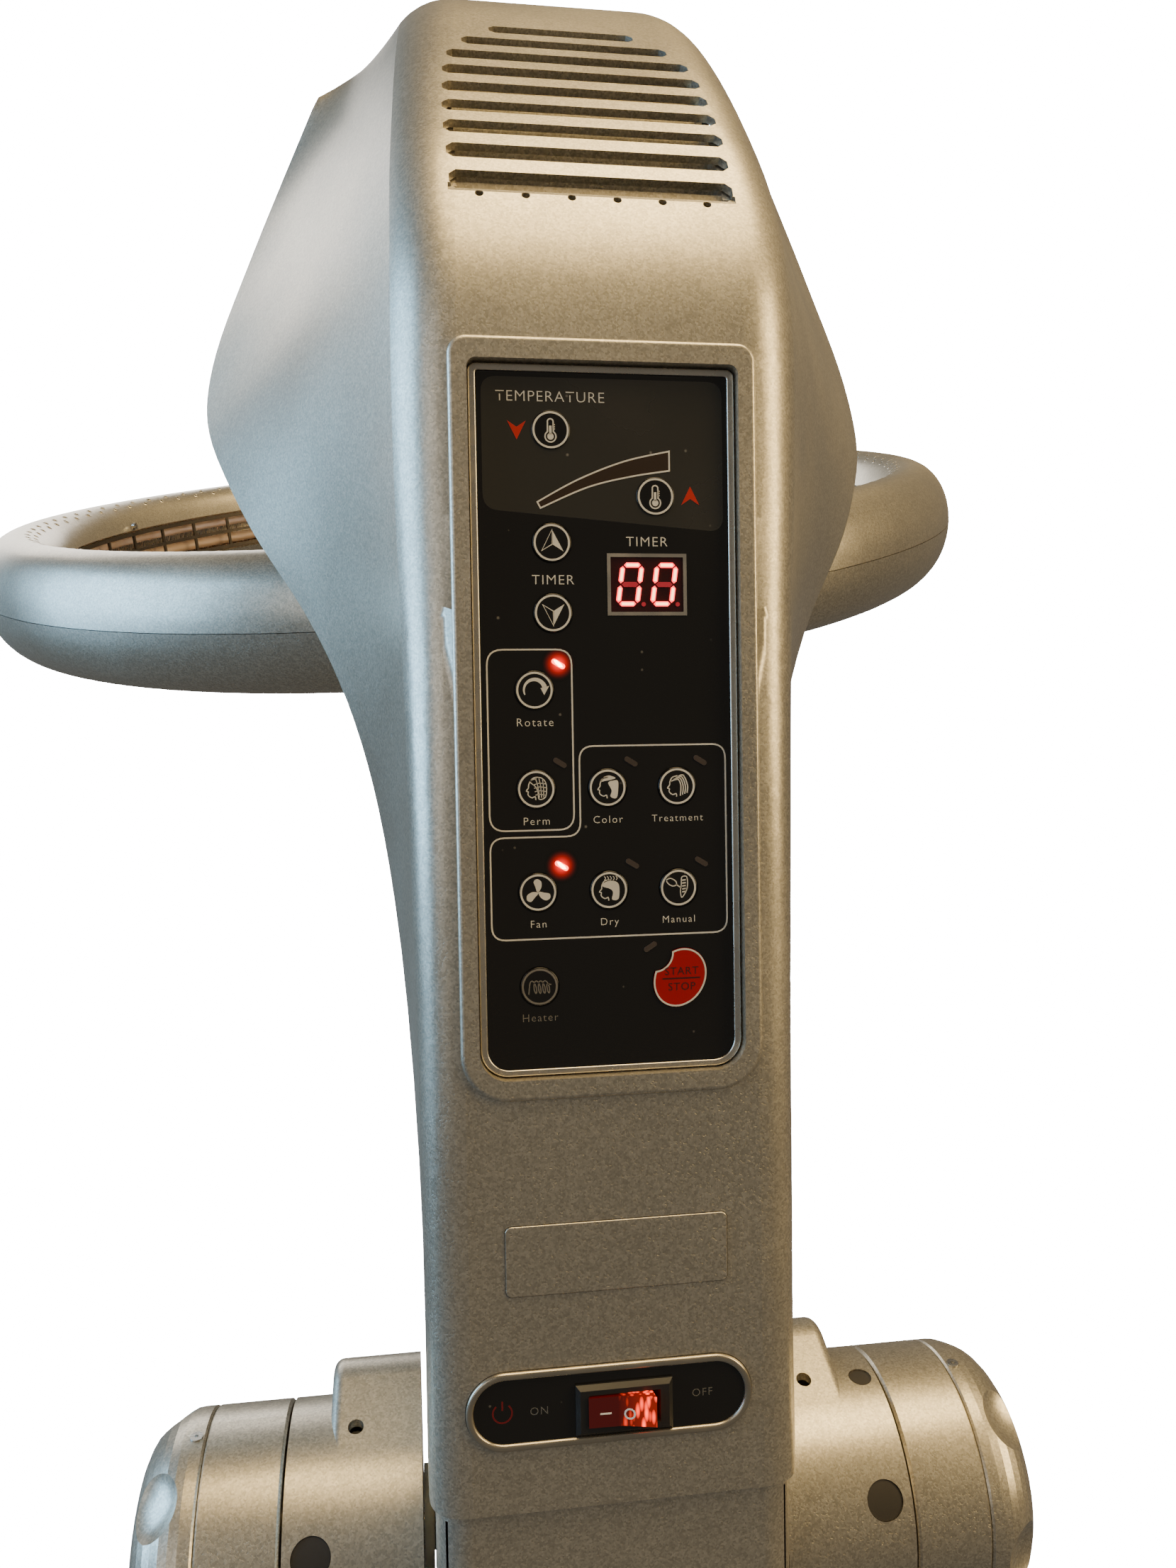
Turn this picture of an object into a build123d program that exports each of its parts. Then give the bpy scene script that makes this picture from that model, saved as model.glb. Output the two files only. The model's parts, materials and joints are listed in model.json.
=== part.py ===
"""Head of an orbiting-halo hair processor: control housing, halo ring, tilt hub and fork."""

from build123d import *
import math
import os

os.makedirs("parts", exist_ok=True)

# Millimetres. The origin is the mouth of the stand socket, +Z is up, the tilt axle lies along X,
# the control panel faces -Y and the halo ring reaches out towards +Y.

# ---- tilt hub and fork -------------------------------------------------------------------------
HUB_Z = 170.0  # height of the tilt axle
AXLE_R = 8.0
DRUM_R = 48.0  # drum covers and knobs share this radius
DRUM_IN = 64.5  # inner face of a drum cover
DRUM_OUT = 112.5
KNOB_IN = 113.5
KNOB_SEAM = 142.0  # joint between knob ring and knob cap
KNOB_END = 166.0
FIN_OUT = 98.0  # raised part of a drum cover ends here
NECK_W = 60.2  # half width of the neck cover
KNOB_SCREW_ANGLES = [81.0, 201.0, 321.0]
SOCKET_R = 16.0
SOCKET_DEPTH = 58.0
BAR_TOP = 84.0
HEAD_BACK = 30.0  # the head parts are drawn about a line this far in front of the tilt axle

# ---- control housing ---------------------------------------------------------------------------
FACE_Y = -102.5  # flat front of the housing
SEAM_Z = 219.0
WALL = 2.8
CORNER = 14.0
PANEL_Y = -100.0  # front of the control overlay
PANEL_Z = 474.0
PANEL_W = 40.4  # half width of the overlay
PANEL_H = 111.0  # half height of the overlay
BADGE_Z = PANEL_Z - 172.5
POD_X = -3.0
POD_Z = PANEL_Z - 221.0

# Stations up the housing: front Y, front Z, front half width, rim half width, rim Y, rim Z.
STATIONS = [
    (FACE_Y, 219.0, 62.2, 62.4, -30.0, 219.0),
    (FACE_Y, 255.0, 62.2, 62.5, -30.0, 255.0),
    (FACE_Y, 295.0, 62.2, 63.0, -30.0, 295.0),
    (FACE_Y, 335.0, 62.2, 64.5, -30.0, 335.0),
    (FACE_Y, 375.0, 62.0, 67.0, -30.0, 375.0),
    (FACE_Y, 422.0, 62.0, 71.5, -29.6, 418.0),
    (FACE_Y, 470.0, 61.5, 79.0, -25.5, 459.0),
    (FACE_Y, 510.0, 61.0, 90.0, -14.0, 493.0),
    (FACE_Y, 548.0, 61.0, 106.0, 3.0, 525.0),
    (FACE_Y, 583.0, 60.5, 123.0, 19.0, 552.0),
    (-100.5, 613.0, 60.0, 136.0, 37.0, 577.0),
    (-92.0, 641.0, 59.5, 146.0, 57.0, 600.0),
    (-78.0, 666.0, 59.0, 150.0, 73.0, 622.0),
    (-60.0, 690.0, 58.0, 146.0, 80.0, 648.0),
    (-39.0, 715.0, 57.0, 136.0, 82.0, 676.0),
    (-15.0, 741.0, 55.5, 125.0, 82.0, 703.0),
    (12.0, 766.0, 53.5, 114.0, 82.0, 729.0),
    (45.0, 788.0, 51.0, 105.0, 82.0, 750.0),
    (80.0, 800.0, 50.0, 99.0, 82.0, 763.0),
]

# ---- vents ---------------------------------------------------------------------------------------
SLOT_PITCH = 14.6
SLOT_HEIGHT = 8.0
SLOT_HALF = [47.0, 47.5, 48.0, 48.0, 47.5, 47.0, 45.0, 39.0, 28.0]
SLOT_START = 650.0  # height of the lowest slot

# ---- control keys: name, x and z from the middle of the panel ------------------------------------
KEY_R = 6.2
KEYS = [
    ("temperature_down", -16.95, 92.9),
    ("temperature_up", 16.6, 72.4),
    ("timer_up", -17.2, 57.4),
    ("timer_down", -17.2, 35.1),
    ("rotate", -23.6, 10.6),
    ("perm", -23.6, -21.0),
    ("color", -0.5, -21.0),
    ("treatment", 22.4, -21.0),
    ("fan", -23.6, -54.1),
    ("dry", -0.5, -54.1),
    ("manual", 22.4, -54.1),
    ("heater", -23.6, -84.5),
]
START_KEY = (22.5, -83.5)
LAMP_KEYS = ["rotate", "perm", "color", "treatment", "fan", "dry", "manual"]

# ---- halo drive and ring -------------------------------------------------------------------------
ORBIT = Vector(0.0, 26.0, 511.8)  # where the orbit axis and the ring axis cross
ORBIT_TILT = 6.4  # orbit axis above the horizontal, degrees
RING_TILT = 16.4  # ring axis above the horizontal at rest
RING_YAW = 2.0
RING_ROLL = -6.0
SHAFT_R = 12.0
RING_R = 305.0  # middle of the halo tube
TUBE_A = 26.0  # half width of the tube
TUBE_B = 36.0  # half height of the tube
RING_GAP = 57.0  # orbit point to the near side of the ring
TUBE_WALL = 2.4
GRILLE_H = 15.5
MODULE = 1.6
GEAR_AT = -74.0  # back of the drive gear along the orbit axis
GEAR_TEETH = 40
PINION_TEETH = 12


def save(name, shape):
    """Write one node; a list becomes a group of solids."""
    if isinstance(shape, (list, tuple)):
        solids = []
        for item in shape:
            solids.extend(item.solids())
        shape = Compound(children=solids)
    shape.label = name
    export_step(shape, f"parts/{name}.step")


def save_head(name, shape):
    """Save a part of the head, set back so that the tilt axle passes under its middle."""
    back = Pos(0, HEAD_BACK, 0)
    save(name, [back * part for part in shape] if isinstance(shape, list) else back * shape)


def mirror_x(point):
    return Vector(-point.X, point.Y, point.Z)


def x_cyl(radius, x0, x1, y=0.0, z=HUB_Z):
    """Cylinder along X between x0 and x1."""
    place = Location((min(x0, x1), y, z), (0, 90, 0))
    return place * Cylinder(radius, abs(x1 - x0), align=(Align.CENTER, Align.CENTER, Align.MIN))


def y_cyl(radius, x, z, y0, y1):
    """Cylinder along Y between y0 and y1."""
    place = Location((x, max(y0, y1), z), (90, 0, 0))
    return place * Cylinder(radius, abs(y1 - y0), align=(Align.CENTER, Align.CENTER, Align.MIN))


def y_extrude(sketch, x, z, y0, y1):
    """Extrude a sketch, drawn as seen from the front, between y0 and y1."""
    face = Plane(origin=(x, y0, z), x_dir=(1, 0, 0), z_dir=(0, 1, 0))
    flipped = face * Rot(0, 0, 0) * mirror(sketch, about=Plane.XZ)
    return extrude(flipped, amount=y1 - y0)


def block(x0, x1, y0, y1, z0, z1):
    place = Location(((x0 + x1) / 2, (y0 + y1) / 2, (z0 + z1) / 2))
    return place * Box(x1 - x0, y1 - y0, z1 - z0)


def x_extrude(sketch, x0, x1):
    """Extrude a sketch drawn in Y (right) and Z (up) between x0 and x1."""
    plane = Plane(origin=(x0, 0, 0), x_dir=(0, 1, 0), z_dir=(1, 0, 0))
    return extrude(plane * sketch, amount=x1 - x0)


def x_revolve(points, side=1):
    """Revolve an outline of (x, radius) points round the tilt axle."""
    corners = [(side * x, r) for x, r in points]
    outline = Plane(origin=(0, 0, HUB_Z), x_dir=(1, 0, 0), z_dir=(0, -1, 0))
    face = outline * make_face(Polyline(*corners, close=True))
    return revolve(face, axis=Axis((0, 0, HUB_Z), (1, 0, 0)))


# ---- housing -------------------------------------------------------------------------------------
def front_tangent(index):
    a = STATIONS[max(index - 1, 0)]
    b = STATIONS[min(index + 1, len(STATIONS) - 1)]
    dy = b[0] - a[0]
    dz = b[1] - a[1]
    length = math.hypot(dy, dz)
    return dy / length, dz / length


def housing_section(station, tangent, inset=0.0, reach=0.0):
    """Closed section: flat front, rounded corners, flanks flaring back to the rim."""
    front_y, front_z, front_w, rim_w, rim_y, rim_z = station
    ty, tz = tangent
    y = front_y + inset * tz
    z = front_z - inset * ty
    corner = Vector(front_w - inset, y, z)
    rim = Vector(rim_w - 1.12 * inset, rim_y, rim_z - 0.5 * inset * ty)
    along = (rim - corner).normalized()
    inward = Vector(-1, 0, 0)
    hollow = (inward - along * inward.dot(along)).normalized() * (0.035 * (rim_w - front_w))
    radius = CORNER - inset
    front_end = Vector(front_w - inset - radius, y, z)
    flank_start = corner + along * radius
    rim = rim + along * reach
    flank = [flank_start]
    for k in range(1, 7):
        t = k / 6
        flank.append(flank_start + (rim - flank_start) * t + hollow * (4 * t * (1 - t)))
    back_flank = [mirror_x(p) for p in reversed(flank)]
    edges = [
        Edge.make_line(mirror_x(front_end), front_end),
        Edge.make_bezier(front_end, corner, flank_start),
        Edge.make_spline(flank),
        Edge.make_line(flank[-1], mirror_x(flank[-1])),
        Edge.make_spline(back_flank),
        Edge.make_bezier(mirror_x(flank_start), mirror_x(corner), mirror_x(front_end)),
    ]
    return Wire(edges)


def housing_shell():
    tangents = [front_tangent(i) for i in range(len(STATIONS))]
    outer = Solid.make_loft([housing_section(s, t) for s, t in zip(STATIONS, tangents)])
    inner = [housing_section(s, t, WALL, 6.0) for s, t in zip(STATIONS, tangents)]
    y, z, w, rw, ry, rz = STATIONS[0]
    inner.insert(0, housing_section((y, z - 10, w, rw, ry, rz - 10), (0, 1), WALL, 6.0))
    y, z, w, rw, ry, rz = STATIONS[-1]
    inner.append(housing_section((y + 12, z + 2, w, rw, ry + 12, rz), tangents[-1], WALL, 6.0))
    return outer - Solid.make_loft(inner)


def front_profile():
    """Front line of the housing in Y and Z as a spline."""
    points = [(s[0], s[1]) for s in STATIONS[6:]]
    return Spline(*points)


def slot_frames():
    """Middle, outward normal and half width of every vent slot."""
    line = front_profile()
    length = line.length
    steps = 800
    start = 0
    for i in range(steps):
        if (line @ (i / steps)).Y >= SLOT_START:
            start = i / steps * length
            break
    frames = []
    for k, half in enumerate(SLOT_HALF):
        u = (start + k * SLOT_PITCH) / length
        point = line @ u
        tangent = line % u
        frames.append((point.X, point.Y, tangent.X, tangent.Y, half))
    return frames


def rounded_box_sketch(half_w, top, bottom, r_top, r_bottom):
    """Rounded rectangle from bottom to top with its own corner radii."""
    with BuildSketch() as sketch:
        with Locations((0, (top + bottom) / 2)):
            Rectangle(2 * half_w, top - bottom)
        corners = sketch.vertices().sort_by(Axis.Y)
        fillet(corners[:2], r_bottom)
        fillet(sketch.vertices().sort_by(Axis.Y)[-2:], r_top)
    return sketch.sketch


def panel_lip():
    """Raised rounded border round the control panel."""
    outer = rounded_box_sketch(49.4, 121.0, -120.5, 6.0, 15.5)
    lip = y_extrude(outer, 0, PANEL_Z, FACE_Y - 1.6, FACE_Y + 1.5)
    edges = lip.edges().filter_by(lambda e: abs(e.center().Y - (FACE_Y - 1.6)) < 0.01)
    return fillet(edges, 1.5)


def panel_tray():
    """Pocket wall and seat that carry the panel frame."""
    outer = rounded_box_sketch(46.2, 116.6, -116.4, 5.0, 12.0)
    hole = rounded_box_sketch(37.0, 107.0, -107.0, 2.0, 6.0)
    tray = y_extrude(outer, 0, PANEL_Z, FACE_Y + 0.5, -94.6)
    return tray - y_extrude(hole, 0, PANEL_Z, FACE_Y, -94.0)


def vent_cuts():
    cuts = []
    for y, z, ty, tz, half in slot_frames():
        plane = Plane(origin=(0, y, z), x_dir=(1, 0, 0), z_dir=(0, -tz, ty))
        slot = Box(2 * half, SLOT_HEIGHT, 24)
        slot = chamfer(slot.edges().filter_by(Axis.Z), 2.2)
        cuts.append(plane * slot)
    y, z, ty, tz, half = slot_frames()[0]
    plane = Plane(origin=(0, y, z), x_dir=(1, 0, 0), z_dir=(0, -tz, ty))
    ledge = Pos(0, -SLOT_HEIGHT / 2 - 2.0, 1.2) * Rot(-18, 0, 0) * Box(2 * half + 1, 8, 2.4)
    cuts.append(plane * ledge)
    for k in range(6):
        x = -37.5 + 15.0 * k
        cuts.append(plane * Pos(x, -SLOT_HEIGHT / 2 - 2.6, 0) * Cylinder(1.4, 20))
    return cuts


def stadium(length, height):
    return SlotOverall(length, height)


def make_control_housing():
    shell = housing_shell()
    shell = shell + panel_lip() + panel_tray()
    recess = rounded_box_sketch(43.4, 113.9, -113.7, 3.0, 9.5)
    shell = shell - y_extrude(recess, 0, PANEL_Z, FACE_Y - 4, -97.2)
    shell = shell - y_extrude(RectangleRounded(73.4, 23.2, 2.2), 0, BADGE_Z, FACE_Y - 2, FACE_Y + 0.9)
    pod_back = y_extrude(stadium(98.0, 29.4), POD_X, POD_Z, FACE_Y + 0.5, FACE_Y + 5.2)
    shell = shell + pod_back
    shell = shell - y_extrude(stadium(94.8, 26.2), POD_X, POD_Z, FACE_Y - 2, FACE_Y + 3.0)
    shell = shell - block(-15.2, 17.8, FACE_Y - 1, FACE_Y + 8, POD_Z - 9.2, POD_Z + 6.4)
    for cut in vent_cuts():
        shell = shell - cut
    return shell


# ---- ring side of the housing ----------------------------------------------------------------------
def rear_section(width, y, z, bulge, depth):
    """Strip of the rear cover, narrower inside so that it clears the flared flanks."""
    a = Vector(-width, y, z)
    b = Vector(0, y + bulge, z)
    c = Vector(width, y, z)
    flare = 0.4 + min(0.18 * max(width - 57.0, 0.0), 6.0)
    if y > 0.0:
        flare = 6.4
    inner_a = Vector(-width + flare, y - depth, z)
    inner_b = Vector(0, y + bulge - depth, z)
    inner_c = Vector(width - flare, y - depth, z)
    return Wire(
        [
            Edge.make_three_point_arc(a, b, c),
            Edge.make_line(c, inner_c),
            Edge.make_three_point_arc(inner_c, inner_b, inner_a),
            Edge.make_line(inner_a, a),
        ]
    )


def make_ring_side_housing():
    rows = []
    for station in STATIONS[:-1]:
        width = station[3] - 4.9 - 0.05 * (station[3] - 62.0)
        rows.append((width, station[4] - 0.6, station[5], 3.0 + 0.12 * (width - 58.8)))
    rows[0] = (rows[0][0], rows[0][1], rows[0][2] + 0.6, rows[0][3])
    last_y = STATIONS[-1][4] - 0.6
    rows.append((90.0, last_y + 0.5, 755.0, 7.2))
    rows.append((75.0, last_y + 0.5, 766.5, 5.6))
    rows.append((59.5, last_y + 0.5, 777.5, 3.6))
    rows.append((43.5, last_y + 0.5, 786.5, 2.2))
    cover = Solid.make_loft([rear_section(w, y, z, b, 3.6) for w, y, z, b in rows])
    orbit = orbit_frame()
    cover = cover + orbit * lathe(36.0, -62, -9.4)
    cover = cover - orbit * lathe(30.3, -80, 20)
    cover = cover - orbit * lathe(60.0, -9.4, 30)
    for k in range(9):
        z = 652.0 + 8.5 * k
        cover = cover - y_extrude(SlotOverall(76 - 1.6 * abs(k - 4) ** 1.7, 4.4), 0, z, 70, 110)
    for x, z in fan_screw_spots():
        cover = cover + y_cyl(4.0, x, z, 66.2, 90.0) - y_cyl(1.5, x, z, 60, 82)
    return cover


def fan_screw_spots():
    return [(sx * 41.0, 686.0 + sz * 41.0) for sx in (-1, 1) for sz in (-1, 1)]


def orbit_frame():
    """Frame on the orbit axis: local Z is the axis."""
    t = math.radians(ORBIT_TILT)
    return Plane(origin=ORBIT, x_dir=(1, 0, 0), z_dir=(0, math.cos(t), math.sin(t))).location


def ring_matrix():
    """Right, outward and up directions of the ring at rest."""
    yaw = math.radians(RING_YAW)
    pitch = math.radians(RING_TILT)
    roll = math.radians(RING_ROLL)

    def turn(v):
        x, y, z = v
        x, z = x * math.cos(roll) + z * math.sin(roll), -x * math.sin(roll) + z * math.cos(roll)
        y, z = y * math.cos(pitch) - z * math.sin(pitch), y * math.sin(pitch) + z * math.cos(pitch)
        x, y = x * math.cos(yaw) - y * math.sin(yaw), x * math.sin(yaw) + y * math.cos(yaw)
        return Vector(x, y, z)

    return turn((1, 0, 0)), turn((0, 1, 0)), turn((0, 0, 1))


def pin_frame():
    """Frame on the ring axis: local Z points along the arm towards the ring."""
    right, out, up = ring_matrix()
    return Plane(origin=ORBIT, x_dir=right, z_dir=out).location


def ring_frame():
    """Frame at the middle of the ring: local Z is the ring's own axis."""
    right, out, up = ring_matrix()
    middle = ORBIT + out * (RING_GAP + TUBE_A + RING_R)
    return Plane(origin=middle, x_dir=right, z_dir=up).location


def lathe(radius, z0, z1, bore=0.0):
    """Cylinder or tube along local Z."""
    low = (Align.CENTER, Align.CENTER, Align.MIN)
    body = Pos(0, 0, z0) * Cylinder(radius, z1 - z0, align=low)
    if bore > 0:
        body = body - Pos(0, 0, z0 - 1) * Cylinder(bore, z1 - z0 + 2, align=low)
    return body


# ---- halo drive ----------------------------------------------------------------------------------
def gear_outline(teeth, turn=0.0):
    pitch = MODULE * teeth / 2
    tip = pitch + 0.75 * MODULE
    root = pitch - 1.2 * MODULE
    step = 360 / teeth
    points = []
    for k in range(teeth):
        middle = k * step + turn
        for radius, offset in ((root, -0.34), (tip, -0.13), (tip, 0.13), (root, 0.34)):
            angle = math.radians(middle + offset * step)
            points.append((radius * math.cos(angle), radius * math.sin(angle)))
    return make_face(Polyline(*points, close=True))


def make_crank_shaft():
    shaft = orbit_frame() * lathe(SHAFT_R, -76, 0)
    collar = orbit_frame() * lathe(15.0, -12.5, -8.6)
    ball = Location(ORBIT) * Sphere(SHAFT_R + 0.6)
    pin = pin_frame() * lathe(SHAFT_R, 0, 41)
    head = pin_frame() * lathe(14.5, 40.3, 43.5)
    return shaft + collar + ball + pin + head


def make_drive_gear():
    body = extrude(gear_outline(GEAR_TEETH, 180 / GEAR_TEETH), 8)
    body = body - lathe(SHAFT_R, -1, 9)
    for k in range(5):
        hole = Cylinder(5, 10, align=(Align.CENTER, Align.CENTER, Align.MIN))
        body = body - Rot(0, 0, 72 * k) * Pos(20.5, 0, -1) * hole
    return orbit_frame() * Pos(0, 0, GEAR_AT) * Rot(0, 0, 90) * body


def pinion_place():
    return orbit_frame() * Pos(0, MODULE * (GEAR_TEETH + PINION_TEETH) / 2, GEAR_AT)


def make_motor_pinion():
    """Pinion with the end of the motor shaft."""
    body = extrude(gear_outline(PINION_TEETH), 8) + lathe(5.5, -4, 0.5)
    body = body + lathe(3.0, -20, 9.5)
    return pinion_place() * Rot(0, 0, -90) * body


def make_orbit_motor():
    case = lathe(22.0, -34, -7) + lathe(15.0, -37, -33) + lathe(7.0, -7.5, -5)
    case = case + Pos(0, 0, -9) * Box(54, 26, 4)
    return pinion_place() * (case - lathe(3.05, -24, -4))


def make_shaft_bearings():
    rings = []
    for z in (-22.0, -59.0):
        outer = lathe(30.0, z, z + 9, 25.0)
        inner = lathe(17.5, z, z + 9, SHAFT_R + 0.03)
        cage = lathe(25.2, z + 2.5, z + 6.5, 17.4)
        rings.append(orbit_frame() * (outer + inner + cage))
    return rings


def crown_gear(z0, z1, teeth_up):
    body = lathe(32.0, z0, z1, 20.5)
    face = z1 if teeth_up else z0
    for k in range(24):
        groove = Rot(0, 0, 15 * k) * Pos(26, 0, face) * Box(16, 3.4, 2.8)
        body = body - groove
    return body


def make_fixed_crown_gear():
    return orbit_frame() * crown_gear(-9.3, -3.1, True)


# ---- halo ring -------------------------------------------------------------------------------------
def tube_point(angle, inset=0.0):
    """Point of the tube section; angle 0 is outward, 90 is up."""
    a = math.radians(angle)
    return (RING_R + (TUBE_A - inset) * math.cos(a), (TUBE_B - inset) * math.sin(a))


def grille_angle():
    return 180.0 - math.degrees(math.asin(GRILLE_H / TUBE_B))


def shell_profile(start, end, wall):
    """Curved strip of the tube section between two angles."""
    steps = 14
    angles = [start + (end - start) * k / steps for k in range(steps + 1)]
    outer = Spline(*[tube_point(a) for a in angles])
    inner = Spline(*[tube_point(a, wall) for a in reversed(angles)])
    close_a = Line(outer @ 1, inner @ 0)
    close_b = Line(inner @ 1, outer @ 0)
    return make_face([outer, close_a, inner, close_b])


def ring_revolve(face, arc=360.0):
    section = Plane.XZ * face
    return revolve(section, axis=Axis.Z, revolution_arc=arc)


def arm_block(grow=0.0):
    """Part of the arm that enters the ring tube, in the ring frame."""
    near = -(RING_R + TUBE_A)
    low = (Align.CENTER, Align.MIN, Align.CENTER)
    body = Pos(0, near - 12, 0) * Box(64 + 2 * grow, 30 + grow, 44 + 2 * grow, align=low)
    return fillet(body.edges().filter_by(Axis.Y), 12 + grow)


def make_ring_upper_shell():
    shell = ring_revolve(shell_profile(0.3, grille_angle(), TUBE_WALL))
    shell = shell - arm_block(0.3)
    return ring_frame() * shell


def make_ring_lower_shell():
    shell = ring_revolve(shell_profile(-0.3, -grille_angle(), TUBE_WALL))
    shell = shell - arm_block(0.3)
    return ring_frame() * shell


def make_ring_grille():
    """Guard on the inner wall with rows of heat windows."""
    r_in = RING_R - TUBE_A + 2.2
    bars = []
    low = (Align.CENTER, Align.CENTER, Align.CENTER)
    for z, h in ((GRILLE_H - 2.7, 3.0), (-GRILLE_H + 2.7, 3.0), (0.0, 2.4)):
        hoop = Cylinder(r_in + 1.6, h, align=low) - Cylinder(r_in, h + 1, align=low)
        bars.append(Pos(0, 0, z) * hoop)
    body = bars[0] + bars[1] + bars[2]
    count = 48
    for k in range(count):
        body = body + Rot(0, 0, 360 / count * k) * Pos(r_in + 0.8, 0, 0) * Box(1.6, 2.2, 2 * GRILLE_H - 3)
    return ring_frame() * body


def make_heating_elements():
    rods = []
    for z in (-7.5, 7.5):
        face = Pos(RING_R - 9, z) * Circle(4.2)
        rod = Rot(0, 0, -75) * ring_revolve(face, 330)
        rods.append(ring_frame() * rod)
    return rods


def make_reflector():
    """Polished trough behind the heating elements."""
    points_out = [(RING_R - 16, 19), (RING_R - 2, 18), (RING_R + 6, 0), (RING_R - 2, -18), (RING_R - 16, -19)]
    points_in = [(x - 0.9, y * 0.95) for x, y in reversed(points_out)]
    outer = Spline(*points_out)
    inner = Spline(*points_in)
    face = make_face([outer, Line(outer @ 1, inner @ 0), inner, Line(inner @ 1, outer @ 0)])
    return ring_frame() * ring_revolve(face)


def make_ring_arm():
    """Hub with its crown gear, turning on the crank pin and carrying the ring."""
    hub = lathe(20.0, 3.0, 40.0, SHAFT_R + 0.3) + lathe(24.0, 9.4, 40.0, SHAFT_R + 0.3)
    cap = lathe(24.0, 40.0, RING_GAP - 6) - lathe(15.5, 39.0, 44.5)
    crown = Rot(0, 0, 7.5) * crown_gear(3.1, 9.3, False)
    body = pin_frame() * (hub + cap + crown)
    core = arm_block()
    core = core & (Cylinder(RING_R + TUBE_A - 3.2, 60) - Cylinder(RING_R + 7.5, 70))
    neck = Pos(0, -(RING_R + TUBE_A) - 11.8, 0) * Box(56, 16, 42, align=(Align.CENTER, Align.MIN, Align.CENTER))
    neck = fillet(neck.edges().filter_by(Axis.Y), 12)
    return body + ring_frame() * (core + neck)


def make_ring_screws():
    screws = []
    for k in range(8):
        turn = Rot(0, 0, 22.5 + 45 * k)
        head = Pos(RING_R - TUBE_A + 0.6, 0, GRILLE_H + 3.2) * Rot(0, 90, 0) * Cylinder(2.6, 2.4)
        slot = Pos(RING_R - TUBE_A - 0.6, 0, GRILLE_H + 3.2) * Box(1.2, 0.8, 3.6)
        cross = Pos(RING_R - TUBE_A - 0.6, 0, GRILLE_H + 3.2) * Box(1.2, 3.6, 0.8)
        screws.append(ring_frame() * turn * (head - slot - cross))
    return screws


# ---- control panel ---------------------------------------------------------------------------------
def start_outline(grow=0.0):
    """Leaf-like outline of the start key with a hollow at its upper left."""
    leaf = Rot(0, 0, -32) * Ellipse(8.4 + grow, 10.0 + grow)
    return leaf - Pos(-8.8, 8.6) * Circle(6.4 - grow)


def display_place():
    return 13.5, 44.2


def make_panel_frame():
    outer = rounded_box_sketch(42.9, 113.4, -113.2, 2.6, 9.0)
    inner = rounded_box_sketch(PANEL_W + 0.15, PANEL_H + 0.15, -PANEL_H - 0.15, 1.0, 7.0)
    frame = y_extrude(outer, 0, PANEL_Z, -100.5, -97.25) - y_extrude(inner, 0, PANEL_Z, -102, -96)
    edges = frame.edges().filter_by(lambda e: abs(e.center().Y + 100.5) < 0.01)
    return fillet(edges, 0.5)


def make_panel_overlay():
    outer = rounded_box_sketch(PANEL_W, PANEL_H, -PANEL_H, 1.0, 7.0)
    plate = y_extrude(outer, 0, PANEL_Z, PANEL_Y, -97.6)
    for name, x, z in KEYS:
        plate = plate - y_cyl(KEY_R + 0.3, x, PANEL_Z + z, -102, -96)
    plate = plate - y_extrude(start_outline(0.3), START_KEY[0], PANEL_Z + START_KEY[1], -102, -96)
    x, z = display_place()
    return plate - block(x - 13.1, x + 13.1, -102, -96, PANEL_Z + z - 10.0, PANEL_Z + z + 10.0)


def make_key(x, z):
    cap = y_cyl(KEY_R, x, PANEL_Z + z, PANEL_Y - 0.35, -97.2)
    edges = cap.edges().filter_by(lambda e: abs(e.center().Y - PANEL_Y + 0.35) < 0.01)
    cap = fillet(edges, 0.25)
    foot = y_cyl(KEY_R + 1.0, x, PANEL_Z + z, -97.3, -96.3)
    return cap + foot


def make_start_key():
    x, z = START_KEY
    cap = y_extrude(start_outline(), x, PANEL_Z + z, PANEL_Y - 0.5, -97.2)
    foot = y_extrude(start_outline(0.9), x, PANEL_Z + z, -97.3, -96.3)
    return cap + foot


def make_control_board():
    board = block(-36.5, 36.5, -94.5, -92.9, PANEL_Z - 106, PANEL_Z + 106)
    for name, x, z in KEYS:
        board = board + y_cyl(2.4, x, PANEL_Z + z, -95.7, -94.4)
    board = board + y_cyl(2.4, START_KEY[0], PANEL_Z + START_KEY[1], -95.7, -94.4)
    chips = [(-10, 74, 22, 14, 4), (12, 4, 16, 10, 3), (20, -30, 12, 24, 9), (-18, -74, 16, 16, 6)]
    for x, z, w, h, d in chips:
        board = board + block(x - w / 2, x + w / 2, -93.0, -92.9 + d, PANEL_Z + z - h / 2, PANEL_Z + z + h / 2)
    return board


def make_timer_display():
    x, z = display_place()
    body = block(x - 12.9, x + 12.9, -100.2, -94.55, PANEL_Z + z - 9.8, PANEL_Z + z + 9.8)
    window = block(x - 12.0, x + 12.0, -101, -99.8, PANEL_Z + z - 8.9, PANEL_Z + z + 8.9)
    return body - window


def segment(x0, z0, x1, z1):
    """One bar of a digit with pointed ends."""
    length = math.hypot(x1 - x0, z1 - z0)
    angle = math.degrees(math.atan2(z1 - z0, x1 - x0))
    half = length / 2 - 0.35
    bar = Polygon(
        (-half, 0), (-half + 0.8, 0.8), (half - 0.8, 0.8), (half, 0), (half - 0.8, -0.8), (-half + 0.8, -0.8),
        align=None,
    )
    return Pos((x0 + x1) / 2, (z0 + z1) / 2) * Rot(0, 0, angle) * bar


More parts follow.
